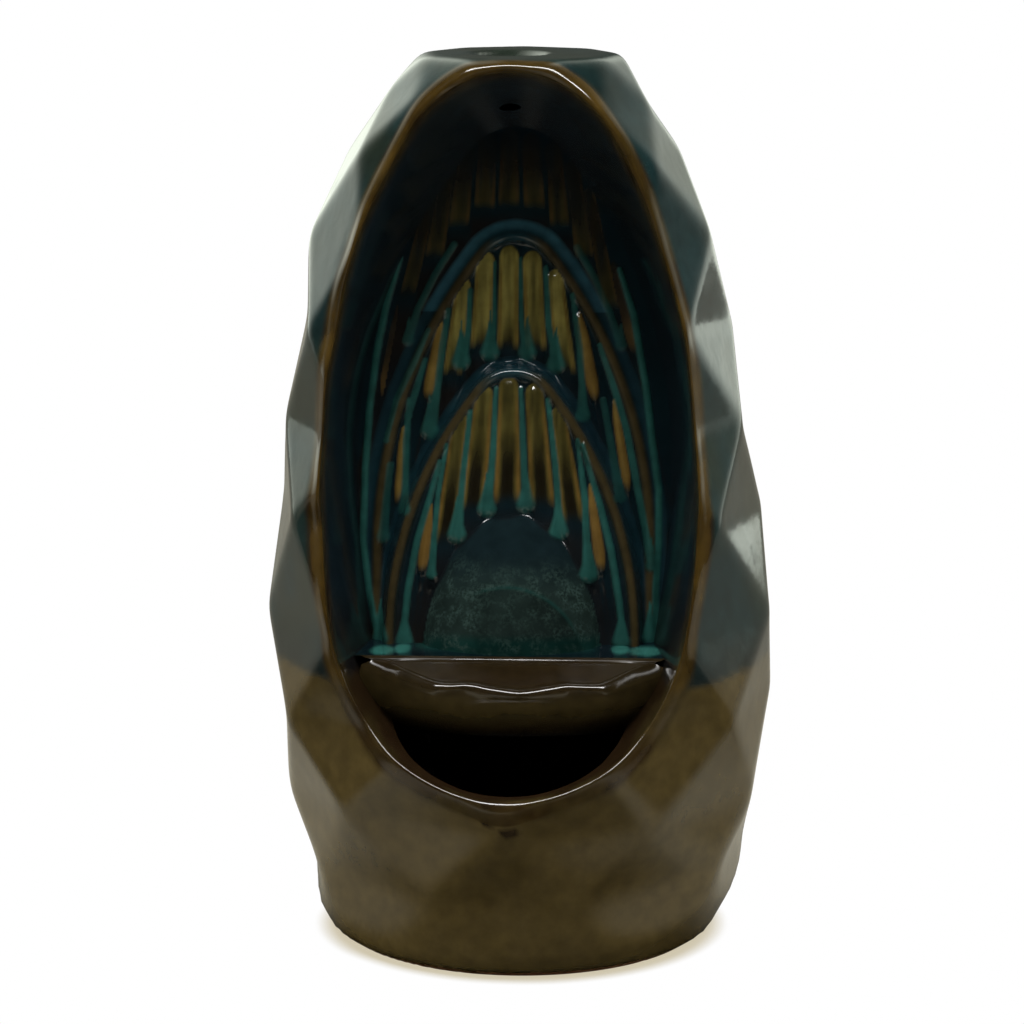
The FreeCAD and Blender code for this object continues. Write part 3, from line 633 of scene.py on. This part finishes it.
# Glaze that ran down the grooves and stopped in drops: places down each run, half widths there, strength
RUNS = (
    (((-10.3, 56.2), (-11.7, 42.4), (-12.5, 32.9), (-13.2, 27.3)), EVEN, 1.0),
    (((-4.2, 61.9), (-4.8, 47.2), (-5.5, 37.7), (-6.1, 33.5)), THIN_TOP, 1.0),
    (((1.7, 61.9), (2.3, 47.3), (2.8, 37.8), (3.1, 34.5)), THIN_TOP, 0.8),
    (((8.1, 59.2), (10.1, 43.8), (10.9, 34.3), (11.0, 28.2)), EVEN, 1.0),
    (((15.3, 49.7), (17.1, 35.5), (17.6, 24.9), (18.2, 18.1)), THIN_TOP, 1.0),
    (((-15.8, 48.3), (-17.8, 36.4), (-18.7, 25.7), (-19.1, 17.7)), (0.5, 0.6, 0.8, 0.99), 1.0),
    (((-17.4, 44.3), (-19.9, 35.2), (-22.7, 25.7), (-24.8, 13.8), (-25.7, 4.6), (-25.6, 1.6)),
     SIDE, 0.95),
    (((16.5, 48.6), (20.9, 33.2), (23.3, 23.8), (25.3, 11.9), (26.1, 5.0), (25.9, 2.2)), SIDE, 0.95),
    (((-10.9, 85.2), (-11.3, 75.7), (-11.9, 71.9), (-12.9, 68.4)), (0.6, 0.7, 0.85, 1.7), 1.0),
    (((-5.0, 91.9), (-5.1, 78.1), (-5.5, 73.2), (-6.0, 70.6)), NARROW, 1.0),
    (((1.2, 92.9), (1.4, 78.2), (2.1, 73.2), (2.9, 70.6)), NARROW, 0.9),
    (((7.2, 90.6), (8.0, 77.0), (9.0, 72.1), (9.8, 67.8)), EVEN, 1.0),
    (((13.7, 84.2), (15.5, 71.1), (16.0, 62.8), (16.3, 55.7)), (0.6, 0.85, 0.85, 1.3), 0.8),
    (((-16.1, 80.4), (-17.4, 72.1), (-18.6, 61.4), (-20.2, 51.8)), (0.6, 0.85, 0.85, 1.7), 0.85),
    (((-25.2, 58.9), (-25.9, 49.4), (-26.1, 39.8), (-26.0, 33.1)), (0.6, 0.85, 0.85, 1.3), 0.9),
    (((-21.5, 68.5), (-24.0, 60.1), (-25.4, 55.3)), (0.6, 0.8, 0.72), 0.7),
    (((20.2, 72.3), (23.4, 62.9), (26.6, 52.2), (29.5, 37.9), (31.5, 28.4), (33.0, 20.1)),
     (0.6, 0.85, 0.85, 0.85, 0.85, 1.2), 0.9),
    (((-29.7, 43.4), (-30.6, 35.0), (-31.2, 26.3)), (0.8, 0.85, 1.2), 0.55),
    (((21.0, 59.3), (23.3, 47.4), (25.3, 36.3)), (0.8, 0.85, 1.2), 0.55),
    (((-14.8, 96.1), (-19.3, 88.9), (-23.4, 80.5), (-25.5, 73.3)), (0.85, 0.85, 0.85, 1.1), 0.6),
    (((14.6, 95.6), (19.0, 88.0), (22.7, 79.6), (25.3, 72.5)), (0.85, 0.85, 0.85, 1.1), 0.5),
    (((-27.5, 92.9), (-30.8, 81.7), (-33.1, 69.7), (-34.5, 58.9), (-35.6, 43.3), (-36.0, 25.2),
      (-34.4, 13.2), (-32.9, 5.4), (-31.6, 2.4)), LONG, 1.0),
    (((24.7, 90.4), (28.2, 79.7), (30.9, 64.2), (32.7, 49.8), (34.5, 37.9), (34.6, 25.9),
      (34.0, 13.9), (34.1, 6.1), (32.7, 2.9)), LONG, 1.0),
    (((-20.7, 75.7), (-24.2, 67.3), (-28.3, 58.9), (-30.6, 49.3)), (0.6, 0.85, 0.85, 0.63), 0.7),
)
# The drop at a run's end: half width and length, as shares of the run's half width
DROP_WIDE, DROP_LONG = 1.35, 4.5


def run_field(places, halves):
    """0 on a run's middle line, 1 at its sides and more outside it."""
    best = np.full(U.shape, 9.0)
    for (ua, va), (ub, vb), wide, wider in zip(places, places[1:], halves, halves[1:]):
        du, dv = ub - ua, vb - va
        along = np.clip(((U - ua) * du + (V - va) * dv) / (du * du + dv * dv), 0, 1)
        far = np.hypot(U - ua - along * du + wander, V - va - along * dv)
        best = np.minimum(best, far / (wide + (wider - wide) * along))
    # The drop at the end of the run hangs from it like a tear
    (end_u, end_v), size = places[-1], halves[-1] * DROP_WIDE
    up = np.clip((V - end_v) / (DROP_LONG * size), 0, 1)
    tear = np.abs(U - end_u + wander) / (size * np.maximum(1 - up, 0.02) ** 1.5)
    drop = np.hypot(U - end_u + wander, V - end_v) / size
    return np.minimum(best, np.where((V > end_v) & (up < 1), tear, drop))


wet = np.zeros(U.shape)
swell = np.zeros(U.shape)
for places, halves, strength in RUNS:
    far = run_field(places, halves)
    wet = np.maximum(wet, strength * (1 - smooth(0.6, 1.25, far)))
    round_run = np.sqrt(np.maximum(1 - np.minimum(far, 1) ** 2, 0))
    swell = np.maximum(swell, round_run * min(halves[-1], 2) * 0.45)
surface += blur_both(swell, RUN_SOFT / CELL, RUN_SOFT / CELL)
flat = from_panel(U, V, surface).reshape(-1, 3)


# The relief's colours

drift = layered(flat, 16, 31).reshape(U.shape)
grain = layered(flat, 2.2, 33).reshape(U.shape)
streak = layered(flat * np.array([1, 0.12, 0.12]), 1.3, 35).reshape(U.shape)
shade = mix(NAVY * 1.6, UMBER, drift)
paint = mix(NAVY * 1.3, TEAL, drift)

# A rib is olive, with ochre edges where the glaze broke and a dark middle towards its foot
crown = mix(CROWN * 0.6, CROWN * 1.8, smooth(0.25, 0.75, 0.65 * streak + 0.35 * drift))
# The middle arch's ribs are olive glaze made three times brighter as a painted sheen
crown = crown * (1 + 2.0 * (tier == 1))[..., None]
dark_middle = (1 - smooth(0.3, 0.68, groove)) * (tier > 0)
dark_middle = dark_middle * smooth(0.25, 0.7, length_share - 0.3 * (tier == 1))
crown = mix(crown, RIB_DARK, dark_middle * (1 - slender))
crown = mix(crown, OCHRE, slender * 0.8)
edge_line = np.exp(-((groove - 0.74) / 0.15) ** 2) * (0.35 + 0.65 * smooth(0.3, 0.6, streak))
crown = mix(crown, OCHRE, edge_line * 0.85 * smooth(-0.1, 0.25, length_share))
# Painted shade darkens each rib towards its sides and the groove
crown = crown * (1 - 0.8 * smooth(0.8, 1.1, groove))[..., None]
crown = crown * (1 - 0.35 * np.exp(-(groove / 0.45) ** 2) * (1 - slender))[..., None]
is_rib = 1 - smooth(0.84 - 0.22 * slender, 1.06 + 0.06 * slender, groove)
is_rib = is_rib * (1 - smooth(0.84, 1.0, length_share + 0.12 * (drift - 0.5)))
in_shade = (tier < 1) * (0.9 - 0.35 * smooth(0.3, 0.9, length_share))
crown = mix(crown, mix(NAVY * 1.8, UMBER, streak), in_shade)
paint = mix(paint, shade, smooth(0.95, 1.2, length_share) * (groove < 1.2))
paint = mix(paint, crown, is_rib)

# Shelves between the arches, the upper one brightened as a painted reflection, and the bronze beads with
# a painted teal reflection in the middle
shelf_paint = mix(NAVY * 2.4, TEAL * 1.9, drift) * np.where(V > 80, 3.0, 1.1)[..., None]
paint = mix(paint, shelf_paint, on_shelf)
bead_paint = mix(BRONZE * 0.8, BRONZE * 1.35, streak)
bead_paint = mix(TEAL * 2.2, bead_paint, smooth(2, 9, np.abs(U + 1.0)))
paint = mix(paint, bead_paint, bead_crest * 0.9)

# Runs of light glaze, and the shadow at the top and at the foot of the panel
paint = mix(paint, mix(RUN * 0.72, RUN * 1.25, 0.5 * drift + 0.5 * grain), wet)
paint = mix(paint, NAVY * 1.3, smooth(112, 124, V) * 0.7)
low_part = 1 - smooth(2, 20, V)
kept = np.clip(np.maximum(wet, bead_crest) + slender * is_rib, 0, 1)
paint = mix(paint, shade, low_part * (1 - kept) * 0.8)

# The mound: slate with crystals, with a painted reflection of the rim: darker inside a thin bright arc
mound_paint = mix(SLATE * 0.6, SLATE, smooth(0.3, 0.7, drift) * (1 - smooth(-2, 12, U)))
mound_paint = mix(mound_paint, MOUND_TOP, smooth(10, 24, V))
mound_paint = mix(RUN * 0.36, mound_paint, smooth(1.5, 4.5, V + 2 * (drift - 0.5)))
paint = mix(paint, mound_paint, on_mound * (1 - 0.85 * wet * smooth(24, 30, V)))
crystals = on_mound * (1 - smooth(13, 24, V + 8 * (drift - 0.5)))
arc_far = np.hypot((U + 1) / 19, (V - MOUND_V) / 21)
arc_reflection_dark = (1 - smooth(0.98, 1.02, arc_far)) * smooth(-11, -6, U)
crystals = crystals * (1 - 0.55 * arc_reflection_dark)
paint = mix(paint, paint * 0.62, arc_reflection_dark * on_mound)
arc_reflection_line = np.exp(-((arc_far - 1) / 0.018) ** 2) * smooth(-10, -5, U) * (1 - smooth(12, 18, U))
paint = mix(paint, RUN * 0.55, arc_reflection_line * on_mound * 0.7)

faces = grid_faces(U.shape[0], U.shape[1], False)
within = arch_inset(BACK_ARCH, U, V).ravel() > -2.2
faces = faces[within[faces].all(1)]
matte = np.maximum(near_mound, 0.75 * on_shelf * (V < 75))
relief = build("stepped_relief", flat, faces, paint.reshape(-1, 3),
               crystals=crystals.ravel(), matte=matte.ravel())


# The ledge and its wavy lip

LIP_COLUMNS = 260
LEDGE_ROWS, BELLY_ROWS = 14, 34
TOP_Z, BACK_Y, LEDGE_DEPTH = 72.2, -3.0, 24
BRINK_Y = BACK_Y - LEDGE_DEPTH
LIP_SHIFT = RECESS_SHIFT + 1.0
# Half widths: the ledge and what it loses towards the brink, the brink, the slope, the belly
LEDGE_HALF, LEDGE_LOSS, BRINK_HALF, SLOPE_HALF, BELLY_HALF = 40, 2.5, 36.2, 33.6, 36.0
# The rounded brink: how far each row is ahead of the ledge and above it
BRINK = ((-0.5, 0.12), (-0.1, 0.36), (0.3, 0.44), (0.7, 0.24), (1.0, -0.12))
# The slope down to the wavy edge, and the belly below it
TILT = math.tan(math.radians(18.7))
RIDGE_HEIGHT, RIDGE_INSET, RIDGE_HALF = 0.6, 0.7, 0.8
EDGE_THICK, BELLY_OUT, BELLY_DROP, BELLY_END = 0.9, 12, 18.5, 0.995
LIP_SOFT, WAVE_SOFT = 0.6, LIP_COLUMNS / 90
# The lip's edge from side to side: place across, reach in front of the ledge
LIP_EDGE = (
    (-34, 1.2), (-30, 3.4), (-25.3, 7.0), (-21, 9.8), (-17.2, 12.0), (-13.5, 12.3), (-10.3, 11.8),
    (-7.5, 12.3), (-5.4, 13.2), (-0.9, 14.3), (1.5, 14.8), (3.7, 14.6), (6, 13.9), (8.5, 13.1),
    (12.8, 11.8), (17, 12.1), (21.1, 12.0), (23.5, 10.2), (25.9, 8.0), (29.3, 5.2), (34, 1.2),
)
a = np.linspace(-1, 1, LIP_COLUMNS)
bow = np.interp(a * LIP_EDGE[-1][0], *zip(*LIP_EDGE))
bow = blur(bow, WAVE_SOFT, 0, False)
lip_rows = []


def lip_row_at(half, y, z):
    """Adds a row to the ledge's net, from side to side."""
    lip_rows.append(np.stack([a * half, y + 0 * a, z + 0 * a], -1))


for t in np.linspace(0, 1, LEDGE_ROWS):
    lip_row_at(LEDGE_HALF - LEDGE_LOSS * smooth(0.7, 1, t), BACK_Y - LEDGE_DEPTH * t, TOP_Z)
for ahead, lift in BRINK:
    lip_row_at(BRINK_HALF - 1.6 * ahead, BRINK_Y - ahead, TOP_Z + lift)
slope_start = len(lip_rows)
for t in np.linspace(0, 1, LEDGE_ROWS)[1:]:
    out = bow * t
    ridge = RIDGE_HEIGHT * np.exp(-(((1 - t) * bow - RIDGE_INSET) / RIDGE_HALF) ** 2) * smooth(2, 6, bow)
    front = BRINK_Y - np.maximum(out, 1.2 + 0.1 * t)
    lip_row_at(SLOPE_HALF - 0.6 * t, front, TOP_Z - out * TILT - 0.1 + ridge)
belly_start = len(lip_rows)
edge_z = TOP_Z - bow * TILT
belly_z = TOP_Z - BELLY_OUT * TILT - 1.2
for t in np.sin(np.linspace(0, math.pi / 2, BELLY_ROWS)) * BELLY_END:
    swell = math.sqrt(1 - t * t)
    even = BELLY_OUT * (1 - np.abs(a) ** 2.6)
    front = BACK_Y - swell * (LEDGE_DEPTH + (even + (bow - even) * (1 - t) ** 2) * swell)
    level = belly_z - t * BELLY_DROP + (edge_z - EDGE_THICK - belly_z) * (1 - t) ** 6
    lip_row_at(BELLY_HALF * swell, front, level)
lip_net = blur(np.stack(lip_rows), LIP_SOFT, 0, False)
lip_net[..., 0] += LIP_SHIFT
flat = lip_net.reshape(-1, 3)

# Navy on the ledge, teal in its middle and in pools, and bronze on the belly, darkened lower down as
# painted shade
POOLS = ((-30.2, -20.5, 3.2), (-25.6, -18.5, 2.2), (32.0, -18.5, 4.6), (25.9, -17, 2.4))
POOL_DEEP = 5.5
lip_row = np.repeat(np.arange(len(lip_rows)), LIP_COLUMNS)
lip_x, lip_y = flat[:, 0] - RECESS_SHIFT, flat[:, 1]
drift = layered(flat, 12, 41)
on_ledge = 1 - smooth(LEDGE_ROWS - 1.6, LEDGE_ROWS - 0.4, lip_row)
paint = mix(UMBER * 1.2, BRONZE * 0.45, drift)
paint = mix(paint, NAVY * 1.3, on_ledge)
middle_band = smooth(-24.5, -20.5, lip_x) * (1 - smooth(17.5, 21.5, lip_x))
paint = mix(paint, RUN * 0.42, on_ledge * middle_band * (1 - smooth(-14, -24, lip_y)))
for pool_x, pool_y, pool_half in POOLS:
    pool = np.hypot((lip_x - pool_x) / pool_half, (lip_y - pool_y) / POOL_DEEP)
    paint = mix(paint, RUN * 1.5, on_ledge * (1 - smooth(0.6, 1.1, pool)))
belly_row = lip_row - belly_start
belly_tone = smooth(-1, 3, belly_row) * (1 - smooth(22, 27, belly_row))
paint = mix(paint, mix(BRONZE, BRONZE * 1.8, drift), belly_tone * 0.9)
# Painted shade where the belly turns under the ledge into the hollow
paint = mix(paint, UMBER * 0.6, smooth(23, 28, belly_row))
# The slope is dull, and so is the brink outside the middle
slope_row = lip_row - slope_start
dull = 0.9 * smooth(0, 2, slope_row) * (1 - smooth(9, 11, slope_row))
outer_part = 1 - smooth(-14, -11, lip_x) * (1 - smooth(14, 17, lip_x))
dull = np.maximum(dull, 0.8 * outer_part * (lip_row > LEDGE_ROWS - 2) * (slope_row < 1))
lip = build("lip", flat, grid_faces(len(lip_rows), LIP_COLUMNS, False), paint, matte=dull)


# The hollow under the ledge, seen through the mouth, painted nearly black as its shade

HOLLOW_COLUMNS = 96
HOLLOW_LEVELS = (6.5, 6.6, 12, 18, 30, 45, 62, 64, 64.1)
WIDTH_SHARE, WALL_THICK, CLOSED_RADIUS = 0.93, 5.5, 0.5
# The part of it behind the mouth is left open
MOUTH_Z, MOUTH_Y = 41, 2
turn = np.linspace(0, 2 * math.pi, HOLLOW_COLUMNS, endpoint=False)
rows = []
for level in HOLLOW_LEVELS:
    radius = float(spline_values(level, 1)) * WIDTH_SHARE - WALL_THICK
    if level in (HOLLOW_LEVELS[0], HOLLOW_LEVELS[-1]):
        radius = CLOSED_RADIUS
    across, back = radius * np.cos(turn), radius * DEPTH_SHARE * np.sin(turn)
    rows.append(np.stack([across, back, 0 * turn + level], -1))
flat = np.stack(rows).reshape(-1, 3)
hidden = (flat[:, 2] > MOUTH_Z) & (flat[:, 1] < MOUTH_Y)
faces = grid_faces(len(rows), HOLLOW_COLUMNS, True)
faces = faces[~hidden[faces].any(1)]
pit = build("hollow", flat, faces, np.tile(UMBER * 0.25, (len(flat), 1)))

PIECES = (shell, relief, lip, pit)


# Ways to add nodes to a material or world

def added(tree, kind):
    return tree.nodes.new("ShaderNode" + kind)


def feed(tree, socket, value):
    """Links a socket's value, or sets a number or colour."""
    if isinstance(value, bpy.types.NodeSocket):
        tree.links.new(value, socket)
    else:
        socket.default_value = value


def math_node(tree, kind, first, second=0.0, clamp=False):
    node = added(tree, "Math")
    node.operation = kind
    node.use_clamp = clamp
    feed(tree, node.inputs[0], first)
    feed(tree, node.inputs[1], second)
    return node.outputs[0]


def times(tree, first, second, clamp=False):
    return math_node(tree, "MULTIPLY", first, second, clamp)


def vector_math(tree, kind, first, second=(0, 0, 0)):
    node = added(tree, "VectorMath")
    node.operation = kind
    feed(tree, node.inputs[0], first)
    feed(tree, node.inputs[1], second)
    return node


def ranged(tree, value, low, high, to_low=0.0, to_high=1.0, eased=False):
    """A value from low to high, brought to to_low to to_high."""
    node = added(tree, "MapRange")
    if eased:
        node.interpolation_type = "SMOOTHSTEP"
    tree.links.new(value, node.inputs["Value"])
    for name, number in (("From Min", low), ("From Max", high), ("To Min", to_low), ("To Max", to_high)):
        node.inputs[name].default_value = number
    return node.outputs["Result"]


def mixed(tree, share, first, second):
    """From the first colour at share 0 to the second at 1."""
    node = added(tree, "Mix")
    node.data_type = "RGBA"
    for name, value in (("Factor", share), ("A", first), ("B", second)):
        feed(tree, node.inputs[name], value)
    return node.outputs["Result"]


def chosen(tree, share, first, second):
    """From the first shader at share 0 to the second at 1."""
    node = added(tree, "MixShader")
    for socket, value in zip(node.inputs, (share, first, second)):
        tree.links.new(value, socket)
    return node.outputs[0]


def stored(tree, name):
    node = added(tree, "Attribute")
    node.attribute_name = name
    return node.outputs


def sides_of(tree, vector):
    """The three parts of a vector."""
    node = added(tree, "SeparateXYZ")
    feed(tree, node.inputs[0], vector)
    return node.outputs


# The glaze

# Noise in the glaze: scale in cycles per metre, detail, roughness
TONE_NOISE, SPECK_NOISE, CLOUD_NOISE = (260, 4, 0.5), (1300, 3, 0.7), (330, 3, 0.5)
ROUGH_NOISE, BUMP_NOISE = (120, 2, 0.5), (170, 3, 0.45)
CRYSTAL = (0.032, 0.058, 0.049, 1)
BLACK, WHITE = (0, 0, 0, 1), (1, 1, 1, 1)
# The glaze's roughness, what bare clay and dull glaze add to it, and its shine
ROUGH_LOW, ROUGH_HIGH, ROUGH_CLAY, ROUGH_DULL = 0.09, 0.17, 0.6, 0.1
SHINE, REFRACTION = 0.5, 1.5
BUMP_STRENGTH, BUMP_HEIGHT = 0.12, 0.0006
# The smoke hole, painted black as its shade, in metres: its place, its edge from dark to clear, and the
# height it starts at
HOLE_PLACE = ((HOLE_X + SHIFT[0]) / METRE, SHIFT[1] / METRE, 0)
HOLE_INSIDE, HOLE_OUTSIDE = (HOLE_RADIUS - 0.2) / METRE, (HOLE_RADIUS + 0.1) / METRE
HOLE_FROM, HOLE_FULL = 0.15, 0.16


def glaze_material():
    """Glaze coloured by the values at the points, with crystals and the smoke hole painted black as its
    shade.
    """
    made = bpy.data.materials.new("glaze")
    made.use_nodes = True
    tree = made.node_tree
    shader = tree.nodes["Principled BSDF"]
    paint = stored(tree, "glaze")
    place = added(tree, "NewGeometry").outputs["Position"]

    def noise_node(scale, detail, rough):
        node = added(tree, "TexNoise")
        for name, number in (("Scale", scale), ("Detail", detail), ("Roughness", rough)):
            node.inputs[name].default_value = number
        feed(tree, node.inputs["Vector"], place)
        return node.outputs["Fac"]

    toned = vector_math(tree, "SCALE", paint["Color"])
    tone = ranged(tree, noise_node(*TONE_NOISE), 0.3, 0.7, 0.82, 1.18)
    feed(tree, toned.inputs["Scale"], tone)
    speck = ranged(tree, noise_node(*SPECK_NOISE), 0.42, 0.60)
    cloud = ranged(tree, noise_node(*CLOUD_NOISE), 0.42, 0.62)
    speck = times(tree, speck, stored(tree, "crystals")["Fac"])
    speck = times(tree, speck, cloud, True)
    final = mixed(tree, speck, toned.outputs["Vector"], CRYSTAL)

    # The smoke hole, painted black as its shade and without shine, by the distance from its axis
    flat = vector_math(tree, "MULTIPLY", place, (1, 1, 0)).outputs["Vector"]
    away = vector_math(tree, "DISTANCE", flat, HOLE_PLACE).outputs["Value"]
    in_hole = ranged(tree, away, HOLE_INSIDE, HOLE_OUTSIDE, 1, 0)
    in_hole = times(tree, in_hole, ranged(tree, sides_of(tree, place)["Z"], HOLE_FROM, HOLE_FULL), True)
    feed(tree, shader.inputs["Base Color"], mixed(tree, in_hole, final, BLACK))

    # Bare clay is rough, and glaze in the shade is dull
    rough = ranged(tree, noise_node(*ROUGH_NOISE), 0.3, 0.7, ROUGH_LOW, ROUGH_HIGH)
    bare = math_node(tree, "SUBTRACT", 1.0, paint["Alpha"], True)
    rough = math_node(tree, "ADD", rough, times(tree, bare, ROUGH_CLAY), True)
    dull = stored(tree, "matte")["Fac"]
    rough = math_node(tree, "ADD", rough, times(tree, dull, ROUGH_DULL), True)
    feed(tree, shader.inputs["Roughness"], rough)
    shine = math_node(tree, "SUBTRACT", SHINE, times(tree, dull, SHINE))
    shine = math_node(tree, "SUBTRACT", shine, in_hole, True)
    feed(tree, shader.inputs["Specular IOR Level"], shine)
    shader.inputs["IOR"].default_value = REFRACTION
    bump = added(tree, "Bump")
    bump.inputs["Strength"].default_value = BUMP_STRENGTH
    bump.inputs["Distance"].default_value = BUMP_HEIGHT
    feed(tree, bump.inputs["Height"], noise_node(*BUMP_NOISE))
    feed(tree, shader.inputs["Normal"], bump.outputs["Normal"])
    return made


GLAZE = glaze_material()
for piece in PIECES:
    piece.data.materials.append(GLAZE)
    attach(piece, "root")
    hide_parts("burner_body")


# The white table

# How far the contact shadow reaches in metres, its samples, and its share from dark to clear
SHADOW_REACH, SHADOW_SAMPLES, SHADOW_DARK, SHADOW_CLEAR = 0.0065, 16, 0.30, 0.72
SHADOW_TINT = (0.62, 0.56, 0.42, 1)
MIRRORED_TINT = (1, 0.95, 0.77, 1)
TABLE_TINT = (0.6, 0.6, 0.58, 1)
TABLE_SIZE = 3
# Parts of the table that the glaze reflects: from dark to bright in metres, and how bright
NEAR_SIDE, FAR_SIDE = (0.04, 0.075, 0, 0.54), (0.19, 0.10, 0, 1.0)
AT_BACK, IN_FRONT = (-0.02, 0.10, 0, 0.35), (-0.07, -0.32, 0, 0.12)


def table_material():
    """White with a contact shadow to the camera, and bright in parts in reflections."""
    made = bpy.data.materials.new("white_table")
    made.use_nodes = True
    tree = made.node_tree
    tree.nodes.clear()
    path = added(tree, "LightPath").outputs
    near = added(tree, "AmbientOcclusion")
    near.samples = SHADOW_SAMPLES
    near.inputs["Distance"].default_value = SHADOW_REACH
    fade = ranged(tree, near.outputs["AO"], SHADOW_DARK, SHADOW_CLEAR)
    seen = added(tree, "Emission")
    feed(tree, seen.inputs["Color"], mixed(tree, fade, SHADOW_TINT, WHITE))
    sides = sides_of(tree, added(tree, "NewGeometry").outputs["Position"])
    aside, ahead = math_node(tree, "ABSOLUTE", sides["X"]), sides["Y"]
    beside = times(tree, ranged(tree, aside, *NEAR_SIDE, True), ranged(tree, aside, *FAR_SIDE, True))
    bright = math_node(tree, "MAXIMUM", beside, ranged(tree, ahead, *AT_BACK, True))
    bright = math_node(tree, "ADD", bright, ranged(tree, ahead, *IN_FRONT, True))
    mirrored = added(tree, "Emission")
    mirrored.inputs["Color"].default_value = MIRRORED_TINT
    feed(tree, mirrored.inputs["Strength"], bright)
    lit = added(tree, "BsdfDiffuse")
    lit.inputs["Color"].default_value = TABLE_TINT
    reflected = chosen(tree, path["Is Glossy Ray"], lit.outputs[0], mirrored.outputs[0])
    final = chosen(tree, path["Is Camera Ray"], reflected, seen.outputs[0])
    end = added(tree, "OutputMaterial")
    feed(tree, end.inputs["Surface"], final)
    return made


bpy.ops.mesh.primitive_plane_add(size=TABLE_SIZE, location=(0, 0, 0))
table = bpy.context.object
table.name = "table"
table.data.materials.append(table_material())


# The room: white to the camera, even for soft light, and brighter behind and aside in reflections

AMBIENT_TINT, AMBIENT = (1, 1, 0.96, 1), 0.30
ROOM_TINT = (0.94, 1, 0.87, 1)
# Ways from the burner, from dark to bright, and how bright: behind it and to its sides
BEHIND_LIGHT, BESIDE_LIGHT = (0.10, 0.92, 0.02, 1.95), (0.05, 0.30, 0.04, 1.0)
# The dimmer upper part of the room on the right
CORNER_ASIDE, CORNER_UP, CORNER_DIM = (0.1, 0.4, 0, 1), (-0.02, 0.12, 0, 1), 0.55


def background(tree, tint, strength):
    node = added(tree, "Background")
    node.inputs["Color"].default_value = tint
    feed(tree, node.inputs["Strength"], strength)
    return node.outputs[0]


def studio_world():
    made = bpy.data.worlds.new("studio")
    made.use_nodes = True
    tree = made.node_tree
    tree.nodes.clear()
    path = added(tree, "LightPath").outputs
    sides = sides_of(tree, added(tree, "TexCoord").outputs["Generated"])
    beside = ranged(tree, math_node(tree, "ABSOLUTE", sides["X"]), *BESIDE_LIGHT, True)
    strength = times(tree, ranged(tree, sides["Y"], *BEHIND_LIGHT, True), beside)
    corner = times(tree, ranged(tree, sides["X"], *CORNER_ASIDE, True),
                   ranged(tree, sides["Z"], *CORNER_UP, True))
    open_side = math_node(tree, "SUBTRACT", 1.0, times(tree, corner, CORNER_DIM))
    strength = times(tree, strength, open_side)
    reflected = chosen(tree, path["Is Glossy Ray"], background(tree, AMBIENT_TINT, AMBIENT),
                       background(tree, ROOM_TINT, strength))
    final = chosen(tree, path["Is Camera Ray"], reflected, background(tree, WHITE, 1))
    end = added(tree, "OutputWorld")
    feed(tree, end.inputs["Surface"], final)
    return made


bpy.context.scene.world = studio_world()


# Softboxes: name, place, target, size, power, whether in reflections and in soft light

SOFTBOXES = (
    ("side_box", (-0.85, 0.0, 0.28), (0, 0, 0.11), (0.5, 0.7), 5, False, True),
    ("side_box", (0.85, 0.0, 0.28), (0, 0, 0.11), (0.5, 0.7), 5, False, True),
    ("top_box", (0, -0.25, 0.9), (0, 0, 0.1), (0.5, 0.22), 7, False, True),
    ("top_strip", (0.01, -0.32, 0.84), (0, 0, 0.1), (0.90, 0.16), 14, True, False),
)
for name, place, target, size, power, in_reflections, in_soft_light in SOFTBOXES:
    lamp = bpy.data.lights.new(name, "AREA")
    lamp.shape = "RECTANGLE"
    lamp.size, lamp.size_y = size
    lamp.energy = power
    box = bpy.data.objects.new(name, lamp)
    bpy.context.scene.collection.objects.link(box)
    box.location = place
    box.rotation_euler = (Vector(target) - Vector(place)).to_track_quat("-Z", "Y").to_euler()
    box.visible_glossy = in_reflections
    box.visible_diffuse = in_soft_light


# The camera of the photograph

DISTANCE, CAMERA_HEIGHT = 0.880, 0.280
AZIMUTH, PITCH = math.radians(2.6), math.radians(11.5)
IMAGE_SIZE, FOCAL_LENGTH, SENSOR = 1024, 3753, 36
# The place in the image, in pixels, of the way that the azimuth and the pitch say
AIM_X, AIM_Y = 522, 514.7
camera = bpy.data.objects.new("camera", bpy.data.cameras.new("camera"))
camera.data.sensor_width = SENSOR
camera.data.lens = FOCAL_LENGTH / IMAGE_SIZE * SENSOR
bpy.context.scene.collection.objects.link(camera)
camera.location = (DISTANCE * math.sin(AZIMUTH) + SHIFT[0] / METRE,
                   -DISTANCE * math.cos(AZIMUTH) + SHIFT[1] / METRE, CAMERA_HEIGHT)
tip = math.pi / 2 - PITCH - (IMAGE_SIZE / 2 - AIM_Y) / FOCAL_LENGTH
camera.rotation_euler = (tip, 0, AZIMUTH + (AIM_X - IMAGE_SIZE / 2) / FOCAL_LENGTH)
bpy.context.scene.camera = camera

bpy.context.scene.view_settings.view_transform = "Standard"
